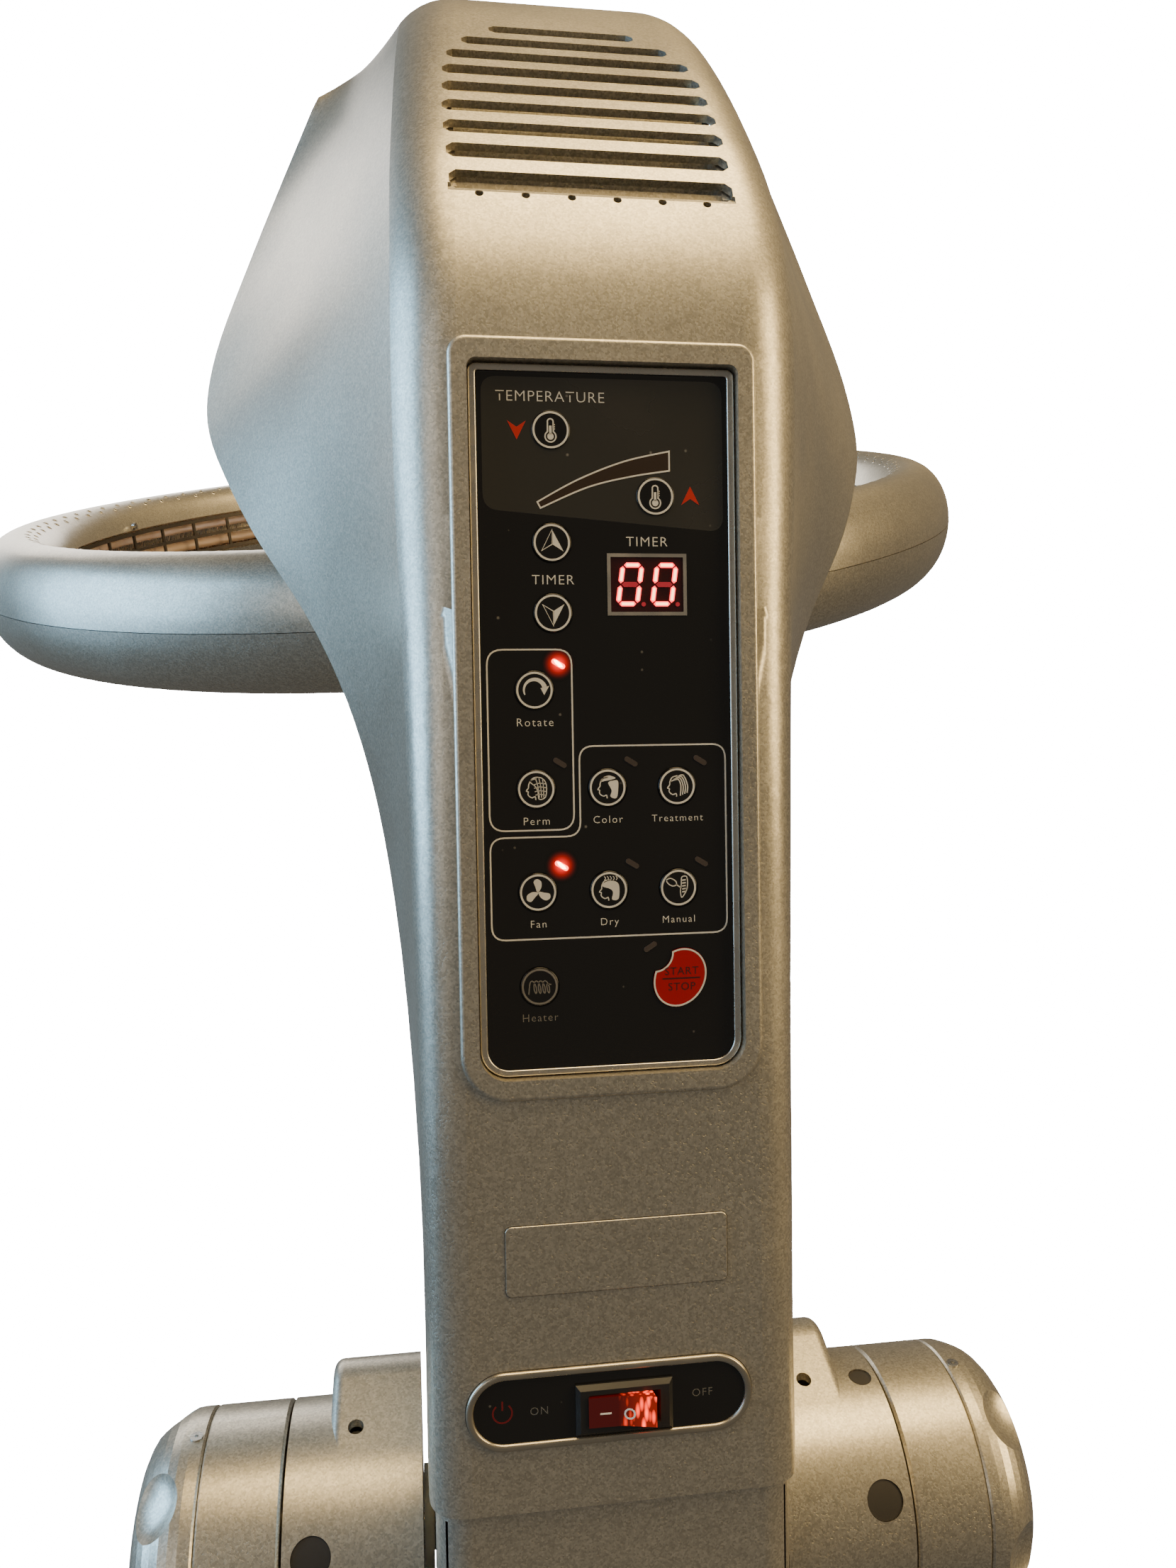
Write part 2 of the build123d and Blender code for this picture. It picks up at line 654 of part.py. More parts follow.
def digit_bars(lean=0.14):
    w = 3.1
    h = 6.2
    spots = [(-w, h, w, h), (-w, -h, w, -h), (-w, 0, -w, h), (w, 0, w, h), (-w, -h, -w, 0), (w, -h, w, 0)]
    bars = [segment(a + b * lean, b, c + d * lean, d) for a, b, c, d in spots]
    return bars, segment(-w, 0, w, 0)


def make_timer_digits():
    x, z = display_place()
    solids = []
    for dx in (-5.6, 5.6):
        bars, middle = digit_bars()
        for bar in bars + [middle]:
            solids.append(y_extrude(bar, x + dx, PANEL_Z + z, -100.1, -99.8))
        solids.append(y_cyl(0.7, x + dx + 4.4, PANEL_Z + z - 6.3, -100.1, -99.8))
    return solids


def lamp_spots():
    spots = []
    for name, x, z in KEYS:
        if name in LAMP_KEYS:
            spots.append((x + 7.8, z + 8.3, -32.0))
    spots.append((START_KEY[0] - 9.7, START_KEY[1] + 10.4, 32.0))
    return spots


def make_indicator_lights():
    solids = []
    for x, z, turn in lamp_spots():
        lens = Rot(0, 0, turn) * SlotOverall(4.8, 1.7)
        solids.append(y_extrude(lens, x, PANEL_Z + z, PANEL_Y - 0.25, PANEL_Y))
    return solids


# ---- mains switch and badge --------------------------------------------------------------------------
ROCKER_X = 1.3
ROCKER_Z = POD_Z - 1.4
ROCKER_TURN = 16.0


def make_switch_rim():
    ring = y_extrude(stadium(94.4, 25.8), POD_X, POD_Z, FACE_Y - 1.4, FACE_Y + 2.95)
    ring = ring - y_extrude(stadium(89.4, 20.8), POD_X, POD_Z, FACE_Y - 3, FACE_Y + 4)
    edges = ring.edges().filter_by(lambda e: abs(e.center().Y - FACE_Y + 1.4) < 0.01)
    return fillet(edges, 1.0)


def make_switch_plate():
    plate = y_extrude(stadium(89.2, 20.6), POD_X, POD_Z, FACE_Y - 0.4, FACE_Y + 2.95)
    x0 = ROCKER_X - 14.5
    x1 = ROCKER_X + 14.5
    return plate - block(x0, x1, FACE_Y - 3, FACE_Y + 4, ROCKER_Z - 7.0, ROCKER_Z + 7.0)


def make_switch_frame():
    low = FACE_Y - 0.4
    flange = block(ROCKER_X - 16, ROCKER_X + 16, low - 2.2, low, ROCKER_Z - 8.3, ROCKER_Z + 8.3)
    edges = flange.edges().filter_by(lambda e: abs(e.center().Y - low + 2.2) < 0.01)
    flange = chamfer(edges, 1.4)
    body = block(ROCKER_X - 14.2, ROCKER_X + 14.2, low - 0.2, FACE_Y + 20, ROCKER_Z - 6.8, ROCKER_Z + 6.8)
    cavity = block(ROCKER_X - 11.7, ROCKER_X + 11.7, low - 4, FACE_Y + 12, ROCKER_Z - 5.3, ROCKER_Z + 5.3)
    return flange + body - cavity + Location(rocker_pivot()) * Cylinder(1.35, 12.0)


def rocker_pivot():
    return ROCKER_X, FACE_Y + 3.5, ROCKER_Z


def make_switch_rocker():
    """Rocker at rest with its right half standing proud."""
    points = [(-11.0, 8.5), (0.0, 7.2), (11.0, 8.5), (8.6, 0.0), (5.0, -3.5), (-5.0, -3.5), (-8.6, 0.0)]
    x, y, z = rocker_pivot()
    plane = Plane(origin=(x, y, z - 4.9), x_dir=(1, 0, 0), z_dir=(0, 0, 1))
    outline = make_face(Polyline(*[(px, -py) for px, py in points], close=True))
    body = extrude(plane * Rot(0, 0, -ROCKER_TURN / 2) * outline, amount=9.8)
    return body - Location((x, y, z)) * Cylinder(1.4, 40)


def make_badge_plate():
    plate = y_extrude(RectangleRounded(73.0, 22.8, 2.0), 0, BADGE_Z, FACE_Y - 0.5, FACE_Y + 0.85)
    edges = plate.edges().filter_by(lambda e: abs(e.center().Y - FACE_Y + 0.5) < 0.01)
    return fillet(edges, 0.35)


# ---- fan and louvre ----------------------------------------------------------------------------------
FAN_Z = 686.0
FAN_Y = 41.0


def make_fan_frame():
    frame = block(-46, 46, FAN_Y, FAN_Y + 25, FAN_Z - 46, FAN_Z + 46)
    frame = frame - y_cyl(42.5, 0, FAN_Z, FAN_Y - 1, FAN_Y + 26)
    hub = y_cyl(17, 0, FAN_Z, FAN_Y + 21.5, FAN_Y + 25)
    for k in range(4):
        angle = 45 + 90 * k
        strut = Location((0, FAN_Y + 23.2, FAN_Z), (0, angle, 0)) * Pos(30, 0, 0) * Box(28, 3.4, 4)
        hub = hub + strut
    frame = frame + hub + y_cyl(2.0, 0, FAN_Z, FAN_Y + 12, FAN_Y + 22)
    for x, z in fan_screw_spots():
        frame = frame - y_cyl(2.2, x, z, FAN_Y - 1, FAN_Y + 26)
    return frame


def make_fan_rotor():
    hub = y_cyl(16.5, 0, FAN_Z, FAN_Y + 2, FAN_Y + 20.5)
    for k in range(7):
        place = Location((0, FAN_Y + 11, FAN_Z), (0, 360 / 7 * k, 0))
        blade = place * Pos(27.5, 0, 0) * Rot(38, 0, 0) * Box(26, 1.8, 20)
        hub = hub + blade
    hub = hub - y_cyl(2.05, 0, FAN_Z, FAN_Y + 8, FAN_Y + 21)
    return hub & y_cyl(41.0, 0, FAN_Z, FAN_Y, FAN_Y + 21)


def make_vent_louvre():
    """Sloping blades behind the slots, tied by two side rails."""
    frames = slot_frames()
    rails = []
    depth0 = WALL + 0.5
    depth1 = WALL + 11.0
    outer = [(y + depth0 * tz, z - depth0 * ty) for y, z, ty, tz, half in frames]
    inner = [(y + depth1 * tz, z - depth1 * ty) for y, z, ty, tz, half in reversed(frames)]
    first = frames[0]
    strip = make_face(Polyline(*(outer + inner), close=True))
    body = None
    for x in (-47.0, 44.4):
        rail = x_extrude(strip, x, x + 2.6)
        body = rail if body is None else body + rail
    for y, z, ty, tz, half in frames:
        plane = Plane(origin=(0, y, z), x_dir=(1, 0, 0), z_dir=(0, -tz, ty))
        blade = Pos(0, 0.6, -WALL - 5.9) * Rot(-34, 0, 0) * Box(92, 1.4, 10.5)
        body = body + plane * blade
    return body


# ---- neck, hub and fork ------------------------------------------------------------------------------
def neck_sketch(inset=0.0):
    """Side view of the neck: a block under the housing joined to a drum round the axle."""
    front = FACE_Y + 2.0 + HEAD_BACK
    top = SEAM_Z - 0.4
    corners = [(front, top), (4.0, top), (30.0, 204.0), (30.0, 150.0)]
    corners += [(-28.0, 128.0), (-56.0, 146.0), (front, 172.0)]
    shape = make_face(Polyline(*corners, close=True)) + Pos(0, HUB_Z) * Circle(DRUM_R)
    if inset > 0:
        shape = offset(shape, -inset)
    return shape


def make_neck_cover():
    front = FACE_Y + 2.0 + HEAD_BACK
    body = x_extrude(neck_sketch(), -NECK_W, NECK_W)
    edges = body.edges().filter_by(Axis.Z).filter_by(lambda e: e.center().Y < front + 0.5)
    body = fillet(edges, 11.5)
    hollow = x_extrude(neck_sketch(3.0), -NECK_W + 3.0, NECK_W - 3.0)
    opening = block(-51.5, 51.5, front + 5.6, front + 61.0, 210, 230)
    body = body - hollow - opening - x_cyl(23.0, -70, 70)
    spigot = block(-54, 54, front + 3.1, front + 63.5, 214, 226) - opening
    spigot = fillet(spigot.edges().filter_by(Axis.Z).filter_by(lambda e: e.center().Y < front + 5), 8.0)
    return body + spigot


def make_neck_frame():
    """Casting inside the neck that turns on the axle and carries the housing."""
    hub = x_cyl(22.6, -NECK_W + 0.2, NECK_W - 0.2) + x_cyl(30.0, -52, 52)
    web = block(-30, 30, -36, -24, HUB_Z - 10, 400) + block(-30, 30, -34, -5, HUB_Z - 12, HUB_Z + 12)
    for x in (-27, 27):
        web = web + block(x - 3, x + 3, -36, -11, HUB_Z + 10, 396)
    feet = block(-44, 44, -36, -28, 392, 408)
    body = hub + web + feet
    for x in (-38, 38):
        body = body - y_cyl(2.4, x, 400, -40, -20)
    return body - x_cyl(AXLE_R + 0.05, -80, 80)


def fin_sketch(inset=0.0):
    big = Pos(0, HUB_Z) * Circle(DRUM_R - inset)
    small = Pos(15, HUB_Z + 40) * Circle(18 - inset)
    return make_hull(ShapeList(big.edges() + small.edges()))


def make_drum_cover(side):
    """Thin drum open towards the knob, raised along its top next to the neck."""
    drum = x_cyl(DRUM_R, side * DRUM_IN, side * DRUM_OUT)
    x0 = min(side * DRUM_IN, side * FIN_OUT)
    x1 = max(side * DRUM_IN, side * FIN_OUT)
    fin = x_extrude(fin_sketch(), x0, x1)
    outer_face = side * FIN_OUT
    edges = fin.edges().filter_by(lambda e: abs(e.center().X - outer_face) < 0.01)
    body = drum + fillet(edges, 4.0)
    hollow = x_extrude(fin_sketch(3.2), x0 + 3.2, x1 - 3.2)
    hollow = hollow + x_cyl(DRUM_R - 3.2, side * (DRUM_IN + 3.2), side * 130)
    body = body - hollow - x_cyl(9.5, side * 60, side * 70)
    slot_x0 = min(side * 71.4, side * 100.6)
    slot_x1 = max(side * 71.4, side * 100.6)
    body = body - block(slot_x0, slot_x1, -25.0, 25.0, HUB_Z - 80, HUB_Z - 30)
    for x, angle, radius in drum_hole_spots(side):
        body = body - drum_radial(x, angle, radius, DRUM_R - 10, DRUM_R + 20)
    return body


def drum_hole_spots(side):
    """Axial place, angle above the front and radius of the holes in a drum cover."""
    if side < 0:
        return [(-88.5, 76.7, 2.9), (-102.7, 26.6, 6.8)]
    return [(83.0, 78.3, 2.9), (106.0, 78.4, 4.4), (102.2, 24.2, 6.8)]


def drum_radial(x, angle, radius, r0, r1):
    """Cylinder pointing out of the drum; angle 0 faces the front, 90 is up."""
    a = math.radians(angle)
    direction = Vector(0, -math.cos(a), math.sin(a))
    origin = Vector(x, 0, HUB_Z) + direction * r0
    plane = Plane(origin=origin, z_dir=direction)
    return plane * Cylinder(radius, r1 - r0, align=(Align.CENTER, Align.CENTER, Align.MIN))


def make_drum_plugs():
    plugs = []
    for side in (-1, 1):
        for x, angle, radius in drum_hole_spots(side)[1:]:
            skin = drum_radial(x, angle, radius - 0.2, DRUM_R - 4.0, DRUM_R + 4)
            skin = skin & x_cyl(DRUM_R - 0.5, x - 12, x + 12)
            plugs.append(skin)
    return plugs


def make_drum_screws():
    """Screws at the bottom of the small holes, driven into the fork's cheeks."""
    screws = []
    for side in (-1, 1):
        x, angle, radius = drum_hole_spots(side)[0]
        shank = drum_radial(x, angle, 1.5, 24.2, DRUM_R - 7)
        head = drum_radial(x, angle, 2.7, DRUM_R - 7.5, DRUM_R - 3.4)
        screws.append(shank + head - drum_radial(x, angle, 1.1, DRUM_R - 5, DRUM_R))
    return screws


def make_knob_ring(side):
    outside = [(KNOB_IN, 30), (KNOB_IN, DRUM_R - 1.0), (KNOB_IN + 1, DRUM_R), (KNOB_SEAM - 0.8, DRUM_R)]
    edge = [(KNOB_SEAM - 0.1, DRUM_R - 0.7), (KNOB_SEAM - 0.1, DRUM_R - 3.5)]
    inside = [(KNOB_IN + 4, DRUM_R - 3.5), (KNOB_IN + 4, 30)]
    return x_revolve(outside + edge + inside, side)


def make_knob_cap(side):
    end = KNOB_END
    r = DRUM_R
    points = [(KNOB_SEAM + 0.1, r - 0.6), (KNOB_SEAM + 0.9, r)]
    for k in range(0, 10):
        a = math.radians(10 * k)
        points.append((end - 19.0 + 19.0 * math.sin(a), r - 21.0 + 21.0 * math.cos(a)))
    points += [(end, 12), (end - 3.6, 12), (end - 3.6, r - 21.0), (end - 9.5, r - 11.5)]
    points += [(KNOB_SEAM + 4, r - 4.0), (KNOB_SEAM + 0.1, r - 4.0)]
    skin = x_revolve([(end - 3.6, 0.0), (end - 0.8, 0.0), (end - 0.8, 12.2), (end - 3.6, 12.2)], side)
    cap = x_revolve(points, side) + skin
    reach = r + 9.2
    for k in range(6):
        a = math.radians(52.5 + 60.0 * k)
        spot = Location((side * (end + 0.4), -reach * math.cos(a), HUB_Z + reach * math.sin(a)))
        cap = cap - spot * Sphere(20.0)
    for angle in KNOB_SCREW_ANGLES:
        cap = cap - drum_radial(side * (KNOB_SEAM + 3.6), angle, 2.4, DRUM_R - 8, DRUM_R + 2)
    return cap


def make_knob_screws(side):
    screws = []
    for angle in KNOB_SCREW_ANGLES:
        spot = drum_radial(side * (KNOB_SEAM + 3.6), angle, 2.3, DRUM_R - 6, DRUM_R + 0.5)
        spot = spot - drum_radial(side * (KNOB_SEAM + 3.6), angle, 0.7, DRUM_R - 0.6, DRUM_R + 2)
        screws.append(spot)
    return screws


def make_knob_nut(side):
    """Boss of a knob that grips the thread of the axle."""
    x0 = KNOB_IN - 4.5
    x1 = KNOB_IN + 4.1
    flange = x_revolve([(x1, AXLE_R + 0.1), (x1, 40), (x1 + 3.9, 40), (x1 + 3.9, AXLE_R + 0.1)], side)
    end = KNOB_END - 4.5
    sleeve = x_revolve([(x0, AXLE_R + 0.1), (x0, 20), (end, 20), (end, AXLE_R + 0.1)], side)
    return flange + sleeve


def make_tilt_axle():
    rod = x_cyl(AXLE_R, -156, 156)
    return rod


def make_friction_washers():
    return [
        x_cyl(21.0, s * 60.6, s * 64.2) - x_cyl(AXLE_R + 0.3, s * 58, s * 66)
        for s in (-1, 1)
    ]


def make_fork_body():
    bar = block(-100, 100, -24, 24, 58, BAR_TOP)
    bar = fillet(bar.edges().filter_by(Axis.Y), 8.0)
    body = bar
    for s in (-1, 1):
        x0 = min(s * 72, s * 100)
        cheek = block(x0, x0 + 28, -24, 24, 64, HUB_Z) + x_cyl(24.0, x0, x0 + 28)
        body = body + cheek
    low = (Align.CENTER, Align.CENTER, Align.MIN)
    boss = Cylinder(27, 62, align=low)
    boss = fillet(boss.edges().sort_by(Axis.Z)[0], 2.0)
    body = body + boss
    body = body - Pos(0, 0, -1) * Cylinder(SOCKET_R, SOCKET_DEPTH + 1, align=low)
    body = body - x_cyl(AXLE_R, -120, 120)
    return body - y_cyl(4.0, 0, 26, -40, 0)


def make_socket_screw():
    """Hexagon-socket screw that clamps the stand post."""
    shank = y_cyl(3.9, 0, 26, -32.0, -SOCKET_R - 0.3)
    head = y_cyl(6.5, 0, 26, -36.0, -27.3)
    key = y_extrude(RegularPolygon(2.6, 6, major_radius=False), 0, 26, -37, -32)
    return head + shank - key


def main():
    save_head("control_housing", make_control_housing())
    save_head("ring_side_housing", make_ring_side_housing())
    save("neck_cover", make_neck_cover())
    save("neck_frame", make_neck_frame())
    save_head("panel_frame", make_panel_frame())
    save_head("panel_overlay", make_panel_overlay())
    save_head("timer_display", make_timer_display())
    save_head("timer_digits", make_timer_digits())
    save_head("indicator_lights", make_indicator_lights())
    save_head("control_board", make_control_board())
    for name, x, z in KEYS:
        save_head(f"{name}_key", make_key(x, z))
    save_head("start_stop_key", make_start_key())
    save_head("switch_rim", make_switch_rim())
    save_head("switch_plate", make_switch_plate())
    save_head("switch_frame", make_switch_frame())
    save_head("switch_rocker", make_switch_rocker())
    save_head("badge_plate", make_badge_plate())
    save_head("vent_louvre", make_vent_louvre())
    save_head("fan_frame", make_fan_frame())
    save_head("fan_rotor", make_fan_rotor())
    save_head("orbit_motor", make_orbit_motor())
    save_head("motor_pinion", make_motor_pinion())
    save_head("drive_gear", make_drive_gear())
    save_head("shaft_bearings", make_shaft_bearings())
    save_head("crank_shaft", make_crank_shaft())
    save_head("fixed_crown_gear", make_fixed_crown_gear())
    save_head("ring_arm", make_ring_arm())
    save_head("ring_upper_shell", make_ring_upper_shell())
    save_head("ring_lower_shell", make_ring_lower_shell())
    save_head("ring_grille", make_ring_grille())
    save_head("ring_reflector", make_reflector())
    save_head("heating_elements", make_heating_elements())
    save_head("ring_screws", make_ring_screws())
    save("fork_body", make_fork_body())
    save("socket_screw", make_socket_screw())
    save("tilt_axle", make_tilt_axle())
    save("friction_washers", make_friction_washers())
    save("drum_plugs", make_drum_plugs())
    save("drum_screws", make_drum_screws())
    for label, side in (("left", -1), ("right", 1)):
        save(f"{label}_drum_cover", make_drum_cover(side))
        save(f"{label}_knob_ring", make_knob_ring(side))
        save(f"{label}_knob_cap", make_knob_cap(side))
        save(f"{label}_knob_screws", make_knob_screws(side))
        save(f"{label}_knob_nut", make_knob_nut(side))


main()
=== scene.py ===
"""Looks of the orbiting-halo hair processor head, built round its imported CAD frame."""

import json
import math

import bpy
from mathutils import Matrix, Vector
from mathutils.bvhtree import BVHTree


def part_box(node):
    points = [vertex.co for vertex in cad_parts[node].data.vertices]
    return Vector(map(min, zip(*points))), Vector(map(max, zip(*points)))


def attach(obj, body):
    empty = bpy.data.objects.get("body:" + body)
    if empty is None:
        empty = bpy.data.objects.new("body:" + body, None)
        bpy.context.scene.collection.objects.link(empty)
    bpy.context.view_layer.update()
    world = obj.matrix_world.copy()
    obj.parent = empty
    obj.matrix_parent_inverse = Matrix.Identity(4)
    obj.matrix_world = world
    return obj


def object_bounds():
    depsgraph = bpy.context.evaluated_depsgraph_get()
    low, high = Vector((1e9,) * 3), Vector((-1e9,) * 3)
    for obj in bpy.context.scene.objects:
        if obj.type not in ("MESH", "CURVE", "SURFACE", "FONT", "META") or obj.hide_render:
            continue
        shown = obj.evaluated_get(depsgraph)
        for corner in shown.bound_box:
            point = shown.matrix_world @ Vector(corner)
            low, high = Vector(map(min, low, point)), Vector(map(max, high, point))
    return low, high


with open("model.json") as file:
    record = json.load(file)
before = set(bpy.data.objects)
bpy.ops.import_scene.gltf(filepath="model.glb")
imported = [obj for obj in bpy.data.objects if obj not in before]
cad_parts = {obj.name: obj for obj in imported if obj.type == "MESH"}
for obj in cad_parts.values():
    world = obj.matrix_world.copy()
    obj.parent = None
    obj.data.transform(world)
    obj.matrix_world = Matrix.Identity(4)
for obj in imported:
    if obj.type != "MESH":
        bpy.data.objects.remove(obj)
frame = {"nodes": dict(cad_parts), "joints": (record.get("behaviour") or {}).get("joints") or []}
cad_lo, cad_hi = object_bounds()
NODES = frame["nodes"]
MM = 0.001

# ---- places read from the frame ------------------------------------------------------------------
OVERLAY_LO, OVERLAY_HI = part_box("panel_overlay")
PANEL_X = (OVERLAY_LO.x + OVERLAY_HI.x) / 2
PANEL_Z = (OVERLAY_LO.z + OVERLAY_HI.z) / 2
PANEL_Y = OVERLAY_LO.y
DISPLAY_LO, DISPLAY_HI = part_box("timer_display")
PLATE_LO, PLATE_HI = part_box("switch_plate")
PRINT = 0.05 * MM  # thickness of a printed layer
STROKE = 0.62  # width of a key's printed circle, mm

KEY_NAMES = [
    "temperature_down",
    "temperature_up",
    "timer_up",
    "timer_down",
    "rotate",
    "perm",
    "color",
    "treatment",
    "fan",
    "dry",
    "manual",
    "heater",
]


# ---- materials -----------------------------------------------------------------------------------
class Finish:
    """A principled material with object-space texture nodes hung on it."""

    def __init__(self, name, color, roughness, **values):
        self.mat = bpy.data.materials.new(name)
        self.mat.use_nodes = True
        self.tree = self.mat.node_tree
        self.shader = self.tree.nodes["Principled BSDF"]
        self.put("Base Color", (*color, 1.0))
        self.put("Roughness", roughness)
        for socket, value in values.items():
            self.put(socket.replace("_", " "), value)
        self.color = color
        self.roughness = roughness
        self.coords = self.node("ShaderNodeTexCoord").outputs["Object"]

    def put(self, socket, value):
        self.shader.inputs[socket].default_value = value

    def node(self, kind, **values):
        node = self.tree.nodes.new(kind)
        for key, value in values.items():
            if hasattr(node, key):
                setattr(node, key, value)
            else:
                node.inputs[key.replace("_", " ")].default_value = value
        return node

    def link(self, out, socket):
        self.tree.links.new(out, socket)

    def noise(self, scale, detail=2.0, stretch=None):
        node = self.node("ShaderNodeTexNoise", Scale=scale, Detail=detail)
        place = self.coords
        if stretch:
            mapping = self.node("ShaderNodeMapping")
            mapping.inputs["Scale"].default_value = stretch
            self.link(self.coords, mapping.inputs["Vector"])
            place = mapping.outputs["Vector"]
        self.link(place, node.inputs["Vector"])
        return node.outputs["Fac"]

    def cells(self, scale):
        node = self.node("ShaderNodeTexVoronoi", Scale=scale)
        self.link(self.coords, node.inputs["Vector"])
        split = self.node("ShaderNodeSeparateColor")
        self.link(node.outputs["Color"], split.inputs["Color"])
        return split.outputs["Red"]

    def ranged(self, value, low, high, start=0.0, end=1.0):
        node = self.node("ShaderNodeMapRange")
        node.inputs["From Min"].default_value = start
        node.inputs["From Max"].default_value = end
        node.inputs["To Min"].default_value = low
        node.inputs["To Max"].default_value = high
        self.link(value, node.inputs["Value"])
        return node.outputs["Result"]

    def times(self, a, b):
        node = self.node("ShaderNodeMath", operation="MULTIPLY")
        self.link(a, node.inputs[0])
        self.link(b, node.inputs[1])
        return node.outputs["Value"]

    def tint(self, factor, low, high):
        """Base colour runs from low to high with factor."""
        node = self.node("ShaderNodeMix", data_type="RGBA")
        node.inputs[6].default_value = (*low, 1.0)
        node.inputs[7].default_value = (*high, 1.0)
        self.link(factor, node.inputs["Factor"])
        self.link(node.outputs[2], self.shader.inputs["Base Color"])

    def vary_roughness(self, factor, spread):
        value = self.ranged(factor, self.roughness - spread, self.roughness + spread, 0.3, 0.7)
        self.link(value, self.shader.inputs["Roughness"])

    def bump(self, height, distance, strength=1.0, after=None):
        node = self.node("ShaderNodeBump", Strength=strength, Distance=distance)
        self.link(height, node.inputs["Height"])
        if after:
            self.link(after, node.inputs["Normal"])
        self.link(node.outputs["Normal"], self.shader.inputs["Normal"])
        return node.outputs["Normal"]


def scaled(color, factor):
    return tuple(min(1.0, c * factor) for c in color)


def flake_paint(name, color):
    """Metallic paint: fine bright and dark flakes, soft orange peel and rubbed patches."""
    f = Finish(name, color, 0.36, Metallic=0.82, Coat_Weight=0.35, Coat_Roughness=0.22)
    fine = f.cells(1500.0)
    coarse = f.cells(620.0)
    flakes = f.times(f.ranged(fine, 0.25, 1.0), f.ranged(coarse, 0.76, 1.0))
    f.tint(flakes, scaled(color, 0.68), scaled(color, 1.32))
    f.vary_roughness(f.noise(9.0, 4.0), 0.07)
    grain = f.bump(fine, 0.035 * MM, 0.55)
    f.bump(f.noise(260.0, 1.0), 0.05 * MM, 0.35, grain)
    return f.mat


def brushed(name, color, roughness, metallic=1.0):
    f = Finish(name, color, roughness, Metallic=metallic)
    f.tint(f.noise(45.0, 5.0), scaled(color, 0.86), scaled(color, 1.12))
    f.vary_roughness(f.noise(120.0, 3.0, (1.0, 9.0, 1.0)), 0.08)
    f.bump(f.noise(900.0, 2.0, (1.0, 6.0, 1.0)), 0.02 * MM, 0.5)
    return f.mat


def gloss(name, color, roughness=0.12, **values):
    f = Finish(name, color, roughness, **values)
    f.vary_roughness(f.noise(30.0, 5.0), min(0.05, roughness * 0.6))
    f.bump(f.noise(140.0, 2.0), 0.02 * MM, 0.25)
    return f.mat


def dusty_gloss(name, color, roughness):
    """Glossy membrane film with a few dust specks and fine smears."""
    f = Finish(name, color, roughness, Coat_Weight=0.25, Coat_Roughness=0.08)
    node = f.node("ShaderNodeTexVoronoi", Scale=260.0)
    f.link(f.coords, node.inputs["Vector"])
    near = f.ranged(node.outputs["Distance"], 1.0, 0.0, 0.0, 0.16)
    split = f.node("ShaderNodeSeparateColor")
    f.link(node.outputs["Color"], split.inputs["Color"])
    few = f.ranged(split.outputs["Red"], 0.0, 1.0, 0.955, 0.96)
    f.tint(f.times(near, few), color, (0.20, 0.19, 0.17))
    f.vary_roughness(f.noise(22.0, 5.0), roughness * 0.45)
    return f.mat


def moulded(name, color, roughness=0.55, **values):
    """Plain moulded plastic with a spark-eroded grain."""
    f = Finish(name, color, roughness, **values)
    f.tint(f.noise(70.0, 4.0), scaled(color, 0.85), scaled(color, 1.2))
    f.vary_roughness(f.noise(40.0, 3.0), 0.08)
    f.bump(f.noise(1400.0, 2.0), 0.03 * MM, 0.5)
    return f.mat


def glowing(name, color, light, strength, roughness=0.25):
    f = Finish(name, color, roughness)
    f.put("Emission Color", (*light, 1.0))
    f.put("Emission Strength", strength)
    f.vary_roughness(f.noise(200.0, 2.0), 0.05)
    return f.mat


def painted_glow_film(name, color, light, strength):
    """Painted glow on the film: its emission falls away from the middle of the piece to its edge."""
    f = Finish(name, color, 0.2)
    f.put("Emission Color", (*light, 1.0))
    place = f.node("ShaderNodeTexCoord").outputs["Generated"]
    offset = f.node("ShaderNodeVectorMath", operation="SUBTRACT")
    offset.inputs[1].default_value = (0.5, 0.5, 0.5)
    f.link(place, offset.inputs[0])
    flat = f.node("ShaderNodeVectorMath", operation="MULTIPLY")
    flat.inputs[1].default_value = (1.0, 0.0, 1.0)
    f.link(offset.outputs["Vector"], flat.inputs[0])
    reach = f.node("ShaderNodeVectorMath", operation="LENGTH")
    f.link(flat.outputs["Vector"], reach.inputs[0])
    near = f.ranged(reach.outputs["Value"], 1.0, 0.0, 0.0, 0.5)
    cubed = f.times(f.times(near, near), near)
    f.link(f.ranged(cubed, 0.0, strength), f.shader.inputs["Emission Strength"])
    f.vary_roughness(f.noise(22.0, 5.0), 0.06)
    return f.mat


def lit_rocker(name, color, light, strength):
    """Clear red rocker with a lamp under its raised end, seen through moulded prisms."""
    f = Finish(name, color, 0.12, Coat_Weight=0.5, Coat_Roughness=0.05)
    f.put("Emission Color", (*light, 1.0))
    split = f.node("ShaderNodeSeparateXYZ")
    f.link(f.node("ShaderNodeTexCoord").outputs["Generated"], split.inputs["Vector"])
    end = f.ranged(split.outputs["X"], 0.0, 1.0, 0.44, 0.82)
    stretch = f.node("ShaderNodeMapping")
    stretch.inputs["Scale"].default_value = (1.0, 1.0, 0.30)
    f.link(f.coords, stretch.inputs["Vector"])
    prisms = f.node("ShaderNodeTexVoronoi", Scale=620.0)
    f.link(stretch.outputs["Vector"], prisms.inputs["Vector"])
    facets = f.ranged(prisms.outputs["Distance"], 1.0, 0.04, 0.05, 0.55)
    f.link(f.ranged(f.times(end, facets), 0.02, strength), f.shader.inputs["Emission Strength"])
    f.bump(prisms.outputs["Distance"], 0.05 * MM, 0.4)
    return f.mat


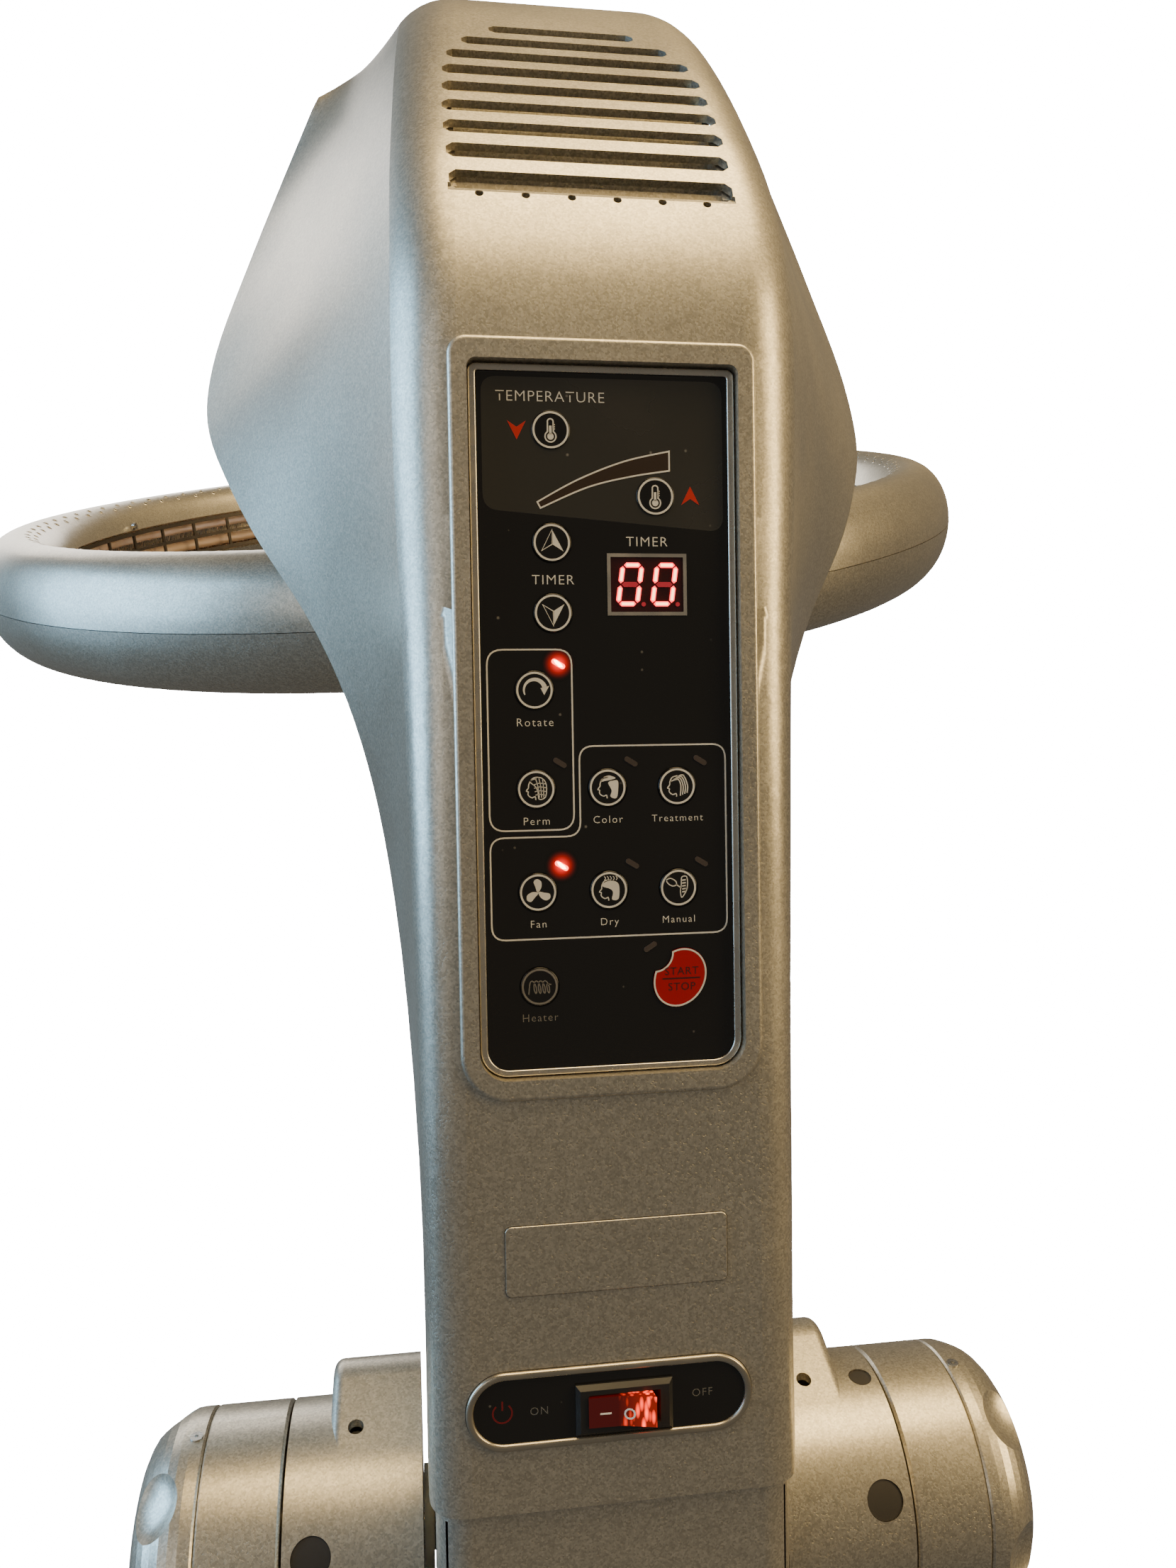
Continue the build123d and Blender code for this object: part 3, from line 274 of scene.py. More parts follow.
CHAMPAGNE = (0.50, 0.465, 0.385)
PAINT = flake_paint("champagne_flake_paint", CHAMPAGNE)
SATIN = brushed("satin_silver", (0.64, 0.60, 0.52), 0.28, 0.9)
RIM = brushed("satin_champagne", (0.46, 0.42, 0.34), 0.30, 0.9)
FILM = dusty_gloss("black_membrane", (0.0085, 0.0080, 0.0072), 0.16)
FILM_GREY = dusty_gloss("grey_zone_film", (0.030, 0.029, 0.025), 0.22)
WEDGE_FILM = dusty_gloss("wedge_film", (0.034, 0.022, 0.014), 0.20)
INK = moulded("pale_ink", (0.62, 0.60, 0.54), 0.45)
INK_WHITE = moulded("white_ink", (0.86, 0.83, 0.80), 0.4)
INK_DIM = moulded("dim_ink", (0.16, 0.15, 0.135), 0.45)
INK_GREY = moulded("grey_ink", (0.12, 0.12, 0.115), 0.45)
INK_RED = moulded("red_ink", (0.42, 0.015, 0.012), 0.4)
INK_MAROON = moulded("maroon_ink", (0.13, 0.008, 0.010), 0.4)
INK_DARK_RED = moulded("dark_red_ink", (0.050, 0.003, 0.004), 0.4)
BLACK_PLASTIC = moulded("black_moulding", (0.014, 0.014, 0.014), 0.42)
RUBBER = moulded("dark_plug", (0.022, 0.020, 0.018), 0.6)
STEEL = brushed("zinc_steel", (0.66, 0.65, 0.62), 0.28)
CAST = brushed("cast_alloy", (0.50, 0.49, 0.46), 0.45, 0.8)
NYLON = moulded("gear_nylon", (0.80, 0.78, 0.70), 0.5, Subsurface_Weight=0.1)
BOARD = moulded("solder_mask", (0.015, 0.10, 0.04), 0.35)
REFLECT = brushed("polished_reflector", (0.52, 0.46, 0.36), 0.28)
QUARTZ = moulded("frosted_quartz", (0.72, 0.55, 0.42), 0.35, Transmission_Weight=0.25)
GUARD = brushed("wire_guard", (0.16, 0.14, 0.115), 0.45)
RED_KEY = gloss("red_key_film", (0.33, 0.004, 0.004), 0.22, Coat_Weight=0.4)
ROCKER = lit_rocker("red_rocker", (0.060, 0.0015, 0.002), (1.0, 0.045, 0.012), 6.0)
WINDOW = gloss("display_window", (0.030, 0.008, 0.009), 0.10)
DIGIT = glowing("lit_digit", (0.8, 0.02, 0.02), (1.0, 0.035, 0.045), 4.0)
DIGIT_CORE = glowing("lit_digit_core", (1.0, 0.4, 0.2), (1.0, 0.50, 0.22), 5.5)
# unlit bars: a faint painted glow, though they give no light
DIGIT_FAINT_GLOW = glowing("unlit_digit_painted_glow", (0.25, 0.02, 0.03), (1.0, 0.05, 0.08), 0.22)
LAMP_ON = glowing("lit_lamp", (0.9, 0.05, 0.03), (1.0, 0.06, 0.03), 9.0)
LAMP_CORE = glowing("lit_lamp_core", (1.0, 0.7, 0.5), (1.0, 0.72, 0.45), 14.0)
# painted glow: an emitting disc on the film round each lit lamp, though the film is no lamp
LAMP_HALO = painted_glow_film("lamp_halo", (0.0085, 0.0080, 0.0072), (1.0, 0.015, 0.01), 3.4)
# painted shade: dark discs standing for the shaded inside of the ring's holes
HOLE_SHADE = moulded("hole_shadow", (0.006, 0.006, 0.006), 0.9)
LAMP_OFF = moulded("unlit_lamp", (0.055, 0.045, 0.040), 0.30)

NODE_FINISH = {
    PAINT: [
        "control_housing",
        "ring_side_housing",
        "neck_cover",
        "vent_louvre",
        "left_drum_cover",
        "right_drum_cover",
        "left_knob_ring",
        "left_knob_cap",
        "right_knob_ring",
        "right_knob_cap",
        "ring_upper_shell",
        "ring_lower_shell",
        "badge_plate",
    ],
    SATIN: ["panel_frame"],
    RIM: ["switch_rim"],
    FILM: ["panel_overlay", "switch_plate"] + [n + "_key" for n in KEY_NAMES],
    BLACK_PLASTIC: ["switch_frame", "fan_frame", "fan_rotor", "shaft_bearings"],
    RUBBER: ["drum_plugs"],
    WINDOW: ["timer_display"],
    RED_KEY: ["start_stop_key"],
    ROCKER: ["switch_rocker"],
    DIGIT: ["timer_digits"],
    LAMP_OFF: ["indicator_lights"],
    BOARD: ["control_board"],
    CAST: ["fork_body", "neck_frame", "ring_arm"],
    STEEL: [
        "tilt_axle",
        "crank_shaft",
        "socket_screw",
        "drum_screws",
        "left_knob_screws",
        "right_knob_screws",
        "ring_screws",
        "orbit_motor",
        "left_knob_nut",
        "right_knob_nut",
    ],
    NYLON: ["drive_gear", "motor_pinion", "fixed_crown_gear", "friction_washers"],
    GUARD: ["ring_grille"],
    REFLECT: ["ring_reflector"],
    QUARTZ: ["heating_elements"],
}


def paint_nodes():
    for finish, names in NODE_FINISH.items():
        for name in names:
            mesh = NODES[name].data
            mesh.materials.clear()
            mesh.materials.append(finish)


# ---- printed artwork -----------------------------------------------------------------------------
class Ink:
    """Flat artwork in millimetres about a point, facing -Y."""

    def __init__(self):
        self.points = []
        self.faces = []

    def polygon(self, outline):
        start = len(self.points)
        self.points.extend(outline)
        self.faces.append(list(range(start, start + len(outline))))

    def stroke(self, path, width, closed=False):
        """Ribbon of even width along a path, with mitred corners."""
        start = len(self.points)
        count = len(path)
        for i, (x, z) in enumerate(path):
            before = path[(i - 1) % count] if closed or i else path[i]
            after = path[(i + 1) % count] if closed or i < count - 1 else path[i]
            a = (Vector((x, z)) - Vector(before)).normalized()
            b = (Vector(after) - Vector((x, z))).normalized()
            along = (a + b).normalized()
            cosine = max(0.5, along.dot(b if b.length else a))
            side = Vector((-along.y, along.x)) * (width / 2 / cosine)
            self.points.append((x + side.x, z + side.y))
            self.points.append((x - side.x, z - side.y))
        spans = count if closed else count - 1
        for i in range(spans):
            j = (i + 1) % count
            self.faces.append([start + 2 * i, start + 2 * j, start + 2 * j + 1, start + 2 * i + 1])

    def circle(self, x, z, radius, width, steps=48):
        self.stroke(arc(x, z, radius, 0, 360, steps)[:-1], width, closed=True)

    def disc(self, x, z, radius, steps=24):
        self.polygon(arc(x, z, radius, 0, 360, steps)[:-1])

    def text(self, words, x, z, height, spacing=1.0, stretch=1.0, weight=-0.011):
        """Words centred on a point; height is that of a capital letter."""
        curve = bpy.data.curves.new("lettering", "FONT")
        curve.body = words
        curve.size = height / 0.70
        curve.space_character = spacing
        curve.align_x = "CENTER"
        curve.resolution_u = 3
        curve.offset = weight * curve.size
        holder = bpy.data.objects.new("lettering", curve)
        mesh = bpy.data.meshes.new_from_object(holder)
        start = len(self.points)
        for v in mesh.vertices:
            self.points.append((x + v.co.x * stretch, z - height / 2 + v.co.y))
        for p in mesh.polygons:
            self.faces.append([start + i for i in p.vertices])
        bpy.data.objects.remove(holder)
        bpy.data.curves.remove(curve)
        bpy.data.meshes.remove(mesh)

    def build(self, name, finish, body, x, y, z, slot=None, thickness=PRINT):
        """Lays the artwork on the plane y, about (x, z) in metres."""
        mesh = bpy.data.meshes.new(name)
        mesh.from_pydata([(x + a * MM, y, z + b * MM) for a, b in self.points], [], self.faces)
        mesh.materials.append(finish)
        mesh.validate()
        obj = add_object(name, mesh, body)
        face_front(mesh)
        solid = obj.modifiers.new("thickness", "SOLIDIFY")
        solid.thickness = thickness
        solid.offset = 1.0
        return obj


def face_front(mesh):
    """Turns every face of flat artwork towards -Y."""
    mesh.update()
    for p in mesh.polygons:
        if p.normal.y > 0:
            p.flip()
    mesh.update()


def add_object(name, mesh, body):
    obj = bpy.data.objects.new(name, mesh)
    bpy.context.scene.collection.objects.link(obj)
    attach(obj, body)
    return obj


def arc(x, z, radius, start, end, steps, squash=1.0):
    points = []
    for i in range(steps + 1):
        t = math.radians(start + (end - start) * i / steps)
        points.append((x + radius * math.cos(t), z + radius * squash * math.sin(t)))
    return points


def smooth(points, steps=6, closed=False):
    """Catmull-Rom curve through the points."""
    count = len(points)
    out = []
    spans = count if closed else count - 1
    for i in range(spans):
        if closed:
            p = [Vector(points[(i + k) % count]) for k in (-1, 0, 1, 2)]
        else:
            p = [Vector(points[min(max(i + k, 0), count - 1)]) for k in (-1, 0, 1, 2)]
        for k in range(steps):
            t = k / steps
            v = 0.5 * (
                2 * p[1]
                + (p[2] - p[0]) * t
                + (2 * p[0] - 5 * p[1] + 4 * p[2] - p[3]) * t * t
                + (3 * p[1] - p[0] - 3 * p[2] + p[3]) * t**3
            )
            out.append((v.x, v.y))
    if not closed:
        out.append(tuple(points[-1]))
    return out


def rounded(corners, radius, steps=6):
    """Closed outline through the corners, each rounded by an arc of about this radius."""
    count = len(corners)
    out = []
    for i in range(count):
        here = Vector(corners[i])
        before = (Vector(corners[i - 1]) - here).normalized()
        after = (Vector(corners[(i + 1) % count]) - here).normalized()
        start = here + before * radius
        end = here + after * radius
        for k in range(steps + 1):
            t = k / steps
            v = start * (1 - t) ** 2 + here * 2 * t * (1 - t) + end * t * t
            out.append((v.x, v.y))
    return out


# ---- key symbols ---------------------------------------------------------------------------------
# Symbols are drawn in millimetres about the key's middle.
OUTLINE = 0.34  # width of the lines of a head
FINE_LINE = 0.24  # width of the thin lines inside it
FOREHEAD = [(0.1, 3.4), (-1.6, 2.9), (-2.4, 1.5), (-2.5, 0.5)]
NOSE_AND_MOUTH = [(-3.2, -0.5), (-2.6, -0.8), (-2.7, -1.6), (-2.2, -2.3)]
CHIN_AND_NECK = [(-1.3, -2.7), (-0.4, -2.4), (-0.2, -3.4)]
PROFILE = FOREHEAD + NOSE_AND_MOUTH + CHIN_AND_NECK


def thermometer(ink):
    tube = arc(-0.1, 2.5, 0.95, 20, 160, 8)
    bulb = arc(-0.1, -2.1, 1.75, 123, 417, 22)
    ink.stroke(tube + bulb, 0.42, closed=True)
    ink.disc(-0.1, -2.1, 1.05)
    ink.polygon([(-0.5, -1.4), (0.3, -1.4), (0.3, 1.3), (-0.5, 1.3)])
    for k in range(3):
        low = 0.1 + k * 0.7
        high = 0.4 + k * 0.7
        ink.polygon([(0.75, low), (1.35, low), (1.35, high), (0.75, high)])


def split_arrow(ink, up):
    tip = (0.1, 4.1 * up)
    notch = (0.1, -0.55 * up)
    ink.stroke([tip, (-3.3, -2.6 * up), notch], 0.30, closed=True)
    ink.polygon([tip, (3.7, -2.8 * up), notch])


def turn_arrow(ink):
    start = 205
    end = 15
    steps = 20
    outer = []
    inner = []
    for k in range(steps + 1):
        t = math.radians(start + (end - start) * k / steps)
        half = 0.22 + 0.55 * k / steps
        outer.append(((3.4 + half) * math.cos(t), (3.4 + half) * math.sin(t)))
        inner.append(((3.4 - half) * math.cos(t), (3.4 - half) * math.sin(t)))
    for k in range(steps):
        ink.polygon([outer[k], outer[k + 1], inner[k + 1], inner[k]])
    ink.polygon([(4.75, 1.3), (1.95, 0.6), (3.1, -1.6)])


def head_outline(ink):
    ink.stroke(smooth(PROFILE), OUTLINE)


def perm_head(ink):
    head_outline(ink)
    top = [(-1.9, 2.4), (-0.6, 3.7), (1.6, 3.6), (3.0, 2.2), (3.3, 0.0)]
    low = [(2.9, -2.6), (0.9, -3.2), (0.5, -0.6), (-0.4, 1.0)]
    ink.stroke(smooth(top + low, 5, True), 0.30, closed=True)
    for k in range(4):
        across = [(-0.9 + k * 0.2, 1.4 - k * 1.1), (1.2, 1.9 - k * 1.2), (3.1, 1.6 - k * 1.2)]
        ink.stroke(smooth(across, 4), FINE_LINE)
    for k in range(3):
        down = [(-0.2 + k * 1.1, 3.5 - 0.1 * k), (0.5 + k * 0.9, 1.0), (1.0 + k * 0.7, -2.7)]
        ink.stroke(smooth(down, 4), FINE_LINE)


def color_head(ink):
    head_outline(ink)
    crown = [(-2.2, 2.0), (-1.2, 3.4), (0.6, 3.9), (2.6, 3.1), (1.0, 2.5), (-0.8, 2.2)]
    nape = [(0.2, 1.6), (2.0, 2.3), (3.3, 2.2), (3.5, 0.2), (2.9, -3.3), (0.9, -2.9), (1.3, -0.9)]
    ink.polygon(smooth(crown, 5, True))
    ink.polygon(smooth(nape, 5, True))


def treatment_head(ink):
    head_outline(ink)
    for k in range(4):
        a = 0.75 * k
        lock = [(-1.9 + a, 1.7 + 0.5 * k), (0.3 + a * 0.8, 2.2 + 0.42 * k)]
        lock += [(1.2 + a, 0.2), (1.0 + a, -3.1 + 0.3 * k)]
        ink.stroke(smooth(lock, 6), 0.36)


def dry_head(ink):
    head_outline(ink)
    hair = [(-2.1, 1.2), (-1.8, 2.3), (0.2, 3.0), (2.4, 2.6), (3.3, 1.0)]
    hair += [(3.0, -2.9), (0.9, -3.1), (1.2, -0.8), (0.2, 0.4)]
    ink.polygon(smooth(hair, 5, True))
    for k in range(5):
        x = -1.5 + 0.95 * k
        ink.stroke(smooth([(x, 3.2), (x + 0.35, 3.8), (x - 0.1, 4.5)], 4), FINE_LINE)


def fan_blades(ink):
    blade = [(0.25, 0.2), (1.3, 1.5), (1.5, 3.3), (0.3, 4.3), (-0.9, 3.6), (-0.6, 1.8), (-0.35, 0.3)]
    for k in range(3):
        turn = Matrix.Rotation(math.radians(120 * k + 8), 2)
        ink.polygon([tuple(turn @ Vector(p)) for p in smooth(blade, 5, True)])


def brush_and_loop(ink):
    loop = [(-4.0, 2.5), (-2.6, 3.1), (-1.0, 2.2), (-0.7, 1.0), (-1.9, 0.6), (-3.2, 1.2)]
    ink.stroke(smooth(loop, 6, True), OUTLINE)
    ink.stroke(smooth([(-0.8, 1.1), (0.3, 0.3), (1.0, 0.2)], 4), OUTLINE)
    handle = [(1.1, 3.4), (2.7, 3.5), (3.0, 1.0), (2.5, -1.2), (1.0, -3.2), (0.6, -1.0), (0.9, 1.0)]
    ink.stroke(smooth(handle, 5, True), 0.32, closed=True)
    for k in range(5):
        z = 2.6 - 0.95 * k
        ink.polygon([(1.2, z), (2.4, z + 0.15), (2.4, z - 0.3), (1.2, z - 0.45)])


def coil(ink):
    path = [(-3.6, -2.4)]
    for k in range(41):
        t = 2 * math.pi * k / 10
        x = -2.9 + 1.4 * k / 10 - 0.75 * math.cos(t) + 0.4
        path.append((x, -0.1 + 2.0 * math.sin(t + 0.4)))
    path.append((3.7, 0.6))
    ink.stroke(smooth(path, 2), OUTLINE)


SYMBOLS = {
    "temperature_down": thermometer,
    "temperature_up": thermometer,
    "timer_up": lambda ink: split_arrow(ink, 1),
    "timer_down": lambda ink: split_arrow(ink, -1),
    "rotate": turn_arrow,
    "perm": perm_head,
    "color": color_head,
    "treatment": treatment_head,
    "fan": fan_blades,
    "dry": dry_head,
    "manual": brush_and_loop,
    "heater": coil,
}


def node_middle(node):
    lo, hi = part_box(node)
    return (lo.x + hi.x) / 2, lo.y, (lo.z + hi.z) / 2


def print_keys():
    for name in KEY_NAMES:
        ink = Ink()
        ink.circle(0, 0, 5.50, STROKE)
        SYMBOLS[name](ink)
        x, y, z = node_middle(name + "_key")
        ink.build(name + "_print", INK_DIM if name == "heater" else INK, name + "_key", x, y, z)


# ---- panel artwork -------------------------------------------------------------------------------
PANEL_LINE = 0.5  # width of the lines on the film, mm
ZONE = [(-38.9, 109.4), (38.9, 109.4), (38.9, 61.2), (-38.9, 67.8)]
LEFT_FRAME = [(-38.6, 23.5), (-11.5, 23.5), (-11.5, -34.2), (-38.6, -34.2)]
STEP_FRAME = [(-9.5, -7.5), (38.6, -7.5), (38.6, -69.2), (-38.6, -69.2), (-38.6, -36.4), (-9.5, -36.4)]
WEDGE_TOP = [(-21.6, 70.2), (-8.5, 77.4), (6.5, 83.4), (21.3, 86.9)]
WEDGE_LOW = [(21.3, 80.7), (8.5, 78.6), (-5.5, 75.0), (-20.6, 68.3)]
HEADINGS = [  # words, place, capital height, spacing and stretch
    ("TEMPERATURE", -16.9, 103.5, 3.4, 1.10, 1.02),
    ("TIMER", -17.0, 45.7, 3.1, 1.14, 1.03),
    ("TIMER", 13.6, 58.0, 3.1, 1.14, 1.03),
]
LABELS = [  # key, words and capital height
    ("rotate", "Rotate", 2.6),
    ("perm", "Perm", 2.5),
    ("color", "Color", 2.4),
    ("treatment", "Treatment", 2.3),
    ("fan", "Fan", 2.4),
    ("dry", "Dry", 2.4),
    ("manual", "Manual", 2.3),
]


def label_place(key, drop):
    x, y, z = node_middle(key + "_key")
    return (x - PANEL_X) / MM, (z - PANEL_Z) / MM - drop


def print_on_film(ink, name, finish, lift=0.0, thickness=PRINT):
    """Artwork about the middle of the film, lifted by some millimetres over what is under it."""
    ink.build(name, finish, "head", PANEL_X, PANEL_Y - lift * MM, PANEL_Z, "black_overlay", thickness)


def print_panel():
    zone = Ink()
    zone.polygon(rounded(ZONE, 5.0))
    print_on_film(zone, "temperature_zone", FILM_GREY, 0.0, 0.03 * MM)

    lines = Ink()
    lines.stroke(rounded(LEFT_FRAME, 5.0), PANEL_LINE, True)
    lines.stroke(rounded(STEP_FRAME, 4.6), PANEL_LINE, True)
    for heading in HEADINGS:
        lines.text(*heading)
    for key, words, size in LABELS:
        x, z = label_place(key, 10.2)
        lines.text(words, x, z, size, 1.22)
    print_on_film(lines, "panel_print", INK)

    wedge = smooth(WEDGE_TOP, 8) + smooth(WEDGE_LOW, 8)
    fill = Ink()
    fill.polygon(wedge)
    print_on_film(fill, "wedge_window", WEDGE_FILM, 0.03)
    rim = Ink()
    rim.stroke(wedge, PANEL_LINE, True)
    print_on_film(rim, "wedge_print", INK, 0.06)

    dim = Ink()
    x, z = label_place("heater", 10.0)
    dim.text("Heater", x, z, 2.5, 1.18)
    print_on_film(dim, "heater_label", INK_DIM)

    arrows = Ink()
    for x, z, up in ((-27.8, 92.8, -1), (28.1, 72.7, 1)):
        low = z - 2.9 * up
        arrows.polygon([(x, z + 3.1 * up), (x + 3.0, low), (x, z - 0.9 * up), (x - 3.0, low)])
    print_on_film(arrows, "temperature_arrows", INK_RED, 0.03)


def print_start_key():
    """Silver edge round the start key, and its two words."""
    mesh = NODES["start_stop_key"].data
    x, y, z = node_middle("start_stop_key")
    edge = front_outline(mesh, y, x, z)
    ink = Ink()
    ink.stroke([(a * 0.965, b * 0.965) for a, b in edge], 0.55, True)
    ink.build("start_key_edge", INK, "start_stop_key", x, y, z)
    words = Ink()
    words.text("START", 0.5, 2.2, 2.5, 1.12, 1.0, 0.0)
    words.text("STOP", 0.5, -2.9, 2.5, 1.12, 1.0, 0.0)
    words.polygon([(-5.9, -0.5), (6.6, -0.5), (6.6, 0.0), (-5.9, 0.0)])
    words.build("start_key_words", INK_DARK_RED, "start_stop_key", x, y, z)


def front_outline(mesh, y, x, z):
    """Outline of a CAD node's flat front, in millimetres about (x, z)."""
    near = {v.index for v in mesh.vertices if abs(v.co.y - y) < 0.02 * MM}
    spots = {}
    for i in near:
        co = mesh.vertices[i].co
        spots[(round(co.x / MM, 2), round(co.z / MM, 2))] = co
    centre = Vector((x, z))
    ordered = sorted(spots.values(), key=lambda c: math.atan2(c.z - centre.y, c.x - centre.x))
    return [((c.x - x) / MM, (c.z - z) / MM) for c in ordered]


# ---- display, lamps, switch and badge ------------------------------------------------------------
def display_trim():
    x = (DISPLAY_LO.x + DISPLAY_HI.x) / 2
    z = (DISPLAY_LO.z + DISPLAY_HI.z) / 2
    ink = Ink()
    half_width = 12.45
    half_height = 9.35
    corners = [(-half_width, half_height), (half_width, half_height)]
    corners += [(half_width, -half_height), (-half_width, -half_height)]
    ink.stroke(corners, 1.15, True)
    ink.build("display_trim", SATIN, "head", x, DISPLAY_LO.y, z, "silver_trim")


def light_digits():
    """Bright cores on the lit bars; the middle bars and the points are unlit, with a faint painted
    glow.
    """
    lean_share = 0.14
    core_width = 0.85
    mesh = NODES["timer_digits"].data
    mesh.materials.append(DIGIT_FAINT_GLOW)
    lo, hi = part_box("timer_digits")
    middle = (lo.z + hi.z) / 2
    islands = mesh_islands(mesh)
    core = Ink()
    x0 = (lo.x + hi.x) / 2
    for faces in islands:
        points = [mesh.vertices[i].co for f in faces for i in mesh.polygons[f].vertices]
        xs = [p.x for p in points]
        zs = [p.z for p in points]
        cx = (min(xs) + max(xs)) / 2
        cz = (min(zs) + max(zs)) / 2
        wide = max(xs) - min(xs)
        tall = max(zs) - min(zs)
        dim = abs(cz - middle) < 1.2 * MM and wide > tall
        if dim or max(wide, tall) < 2.0 * MM:
            for f in faces:
                mesh.polygons[f].material_index = 1
            continue
        lean = lean_share * tall if tall > wide else 0.0
        half = (0.36 * max(wide, tall)) / MM
        a = (cx - x0) / MM
        b = (cz - middle) / MM
        if tall > wide:
            shift = lean / MM * 0.36
            core.stroke([(a - shift, b - half), (a + shift, b + half)], core_width)
        else:
            core.stroke([(a - half, b), (a + half, b)], core_width)
    core.build("digit_cores", DIGIT_CORE, "head", x0, lo.y, middle, "lamp_red")


def mesh_islands(mesh):
    """Face indices of each separate solid, joined where vertices share a place."""
    key = {}
    parent = list(range(len(mesh.vertices)))

    def find(i):
        while parent[i] != i:
            parent[i] = parent[parent[i]]
            i = parent[i]
        return i

    for v in mesh.vertices:
        spot = tuple(round(c, 6) for c in v.co)
        if spot in key:
            parent[find(v.index)] = find(key[spot])
        key[spot] = v.index
    for p in mesh.polygons:
        first = find(p.vertices[0])
        for i in p.vertices[1:]:
            parent[find(i)] = first
    groups = {}
    for p in mesh.polygons:
        groups.setdefault(find(p.vertices[0]), []).append(p.index)
    return list(groups.values())


LAMP_CORE_SHAPE = [(-1.5, 1.3), (-0.5, 1.15), (1.0, -0.1), (1.5, -1.1), (0.3, -1.0), (-1.0, 0.2)]


def light_lamps():
    """The rotate and fan lamps are lit; round each, a disc on the film carries a painted glow."""
    mesh = NODES["indicator_lights"].data
    mesh.materials.append(LAMP_ON)
    lit = [Vector((*node_middle(k + "_key"),)) for k in ("rotate", "fan")]
    for faces in mesh_islands(mesh):
        points = [mesh.vertices[i].co for f in faces for i in mesh.polygons[f].vertices]
        middle = sum(points, Vector()) / len(points)
        near = [v for v in lit if abs(v.x - middle.x) < 12 * MM and 0 < middle.z - v.z < 12 * MM]
        if not near:
            continue
        for f in faces:
            mesh.polygons[f].material_index = 1
        name = "rotate" if abs(near[0].z - lit[0].z) < MM else "fan"
        front = min(p.y for p in points) - 0.01 * MM
        film = PANEL_Y - 0.01 * MM
        # painted glow on the film round the lamp, fading to its edge
        halo = Ink()
        halo.disc(0, 0, 5.6, 40)
        spot = (middle.x, film, middle.z)
        halo.build(name + "_lamp_halo", LAMP_HALO, "head", *spot, "black_overlay", 0.02 * MM)
        core = Ink()
        core.polygon(LAMP_CORE_SHAPE)
        core.build(name + "_lamp_core", LAMP_CORE, "head", middle.x, front, middle.z, "lamp_red")


def print_switch():
    x = (PLATE_LO.x + PLATE_HI.x) / 2
    z = (PLATE_LO.z + PLATE_HI.z) / 2
    y = PLATE_LO.y
    words = Ink()
    words.text("ON", -23.5, -0.5, 2.6, 1.15)
    words.text("OFF", 30.4, 0.5, 2.6, 1.15)
    words.build("switch_words", INK_GREY, "head", x, y, z, "black_overlay")
    power = Ink()
    power.stroke(arc(-35.4, -0.3, 3.1, 130, 410, 30), 0.55)
    power.polygon([(-35.7, 0.6), (-35.1, 0.6), (-35.1, 3.6), (-35.7, 3.6)])
    power.build("switch_power_sign", INK_MAROON, "head", x, y, z, "black_overlay")


def print_rocker():
    """Dash and ring moulded on the two halves of the rocker."""
    lo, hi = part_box("switch_rocker")
    x = (lo.x + hi.x) / 2
    z = (lo.z + hi.z) / 2
    marks = Ink()
    marks.polygon([(-7.2, -0.7), (-7.2, -0.15), (-3.5, -0.15), (-3.5, -0.7)])
    marks.circle(2.4, -0.9, 1.55, 0.55, 28)
    obj = marks.build("rocker_marks", INK_WHITE, "switch_rocker", x, lo.y, z, "red_key")
    drape(obj.data, NODES["switch_rocker"].data)


def drape(mesh, under):
    """Lays flat artwork against the front of a CAD mesh."""
    faces = [tuple(p.vertices) for p in under.polygons]
    tree = BVHTree.FromPolygons([v.co for v in under.vertices], faces)
    for v in mesh.vertices:
        spot = tree.ray_cast(Vector((v.co.x, v.co.y - 0.05, v.co.z)), Vector((0, 1, 0)))[0]
        if spot:
            v.co.y = spot.y - 0.02 * MM


# ---- ring perforations ---------------------------------------------------------------------------
RING_R = 305.0 * MM  # middle of the halo tube
TUBE_A = 26.0 * MM  # half width of the tube
TUBE_B = 36.0 * MM  # half height of the tube
RING_GAP = 57.0 * MM
RING_ROLL = math.radians(-6.0)
HOLE_ROWS = ((116.0, 0.0), (106.0, 0.5))  # place round the tube, and shift along the row
HOLES = 96
HOLE_R = 1.25 * MM
HOLE_SIDES = 10
LIP_RINGS = ((1.75, -0.15), (1.35, 0.16), (1.0, 0.10), (0.92, -0.05))  # radius share, lift in mm
ARM_REACH = 66 * MM  # no holes this near the arm's root


def ring_axes():
    """Middle, right, outward and up directions of the ring at rest."""
    hold = next(j for j in frame["joints"] if j["name"] == "halo_hold")
    out = Vector(hold["axis"]).normalized()
    flat = out.cross(Vector((0, 0, 1))).normalized()
    steep = flat.cross(out)
    right = flat * math.cos(RING_ROLL) - steep * math.sin(RING_ROLL)
    up = flat * math.sin(RING_ROLL) + steep * math.cos(RING_ROLL)
    return Vector(hold["pos_m"]) + out * (RING_GAP + TUBE_A + RING_R), right, out, up


def hole_rings(centre, normal, along):
    """Circles of points from the foot of a hole's lip to its rim."""
    other = normal.cross(along)
    spokes = []
    for i in range(HOLE_SIDES):
        a = 2 * math.pi * i / HOLE_SIDES
        spokes.append(along * math.cos(a) + other * math.sin(a))
    return [
        [centre + normal * (lift * MM) + spoke * (share * HOLE_R) for spoke in spokes]
        for share, lift in LIP_RINGS
    ]


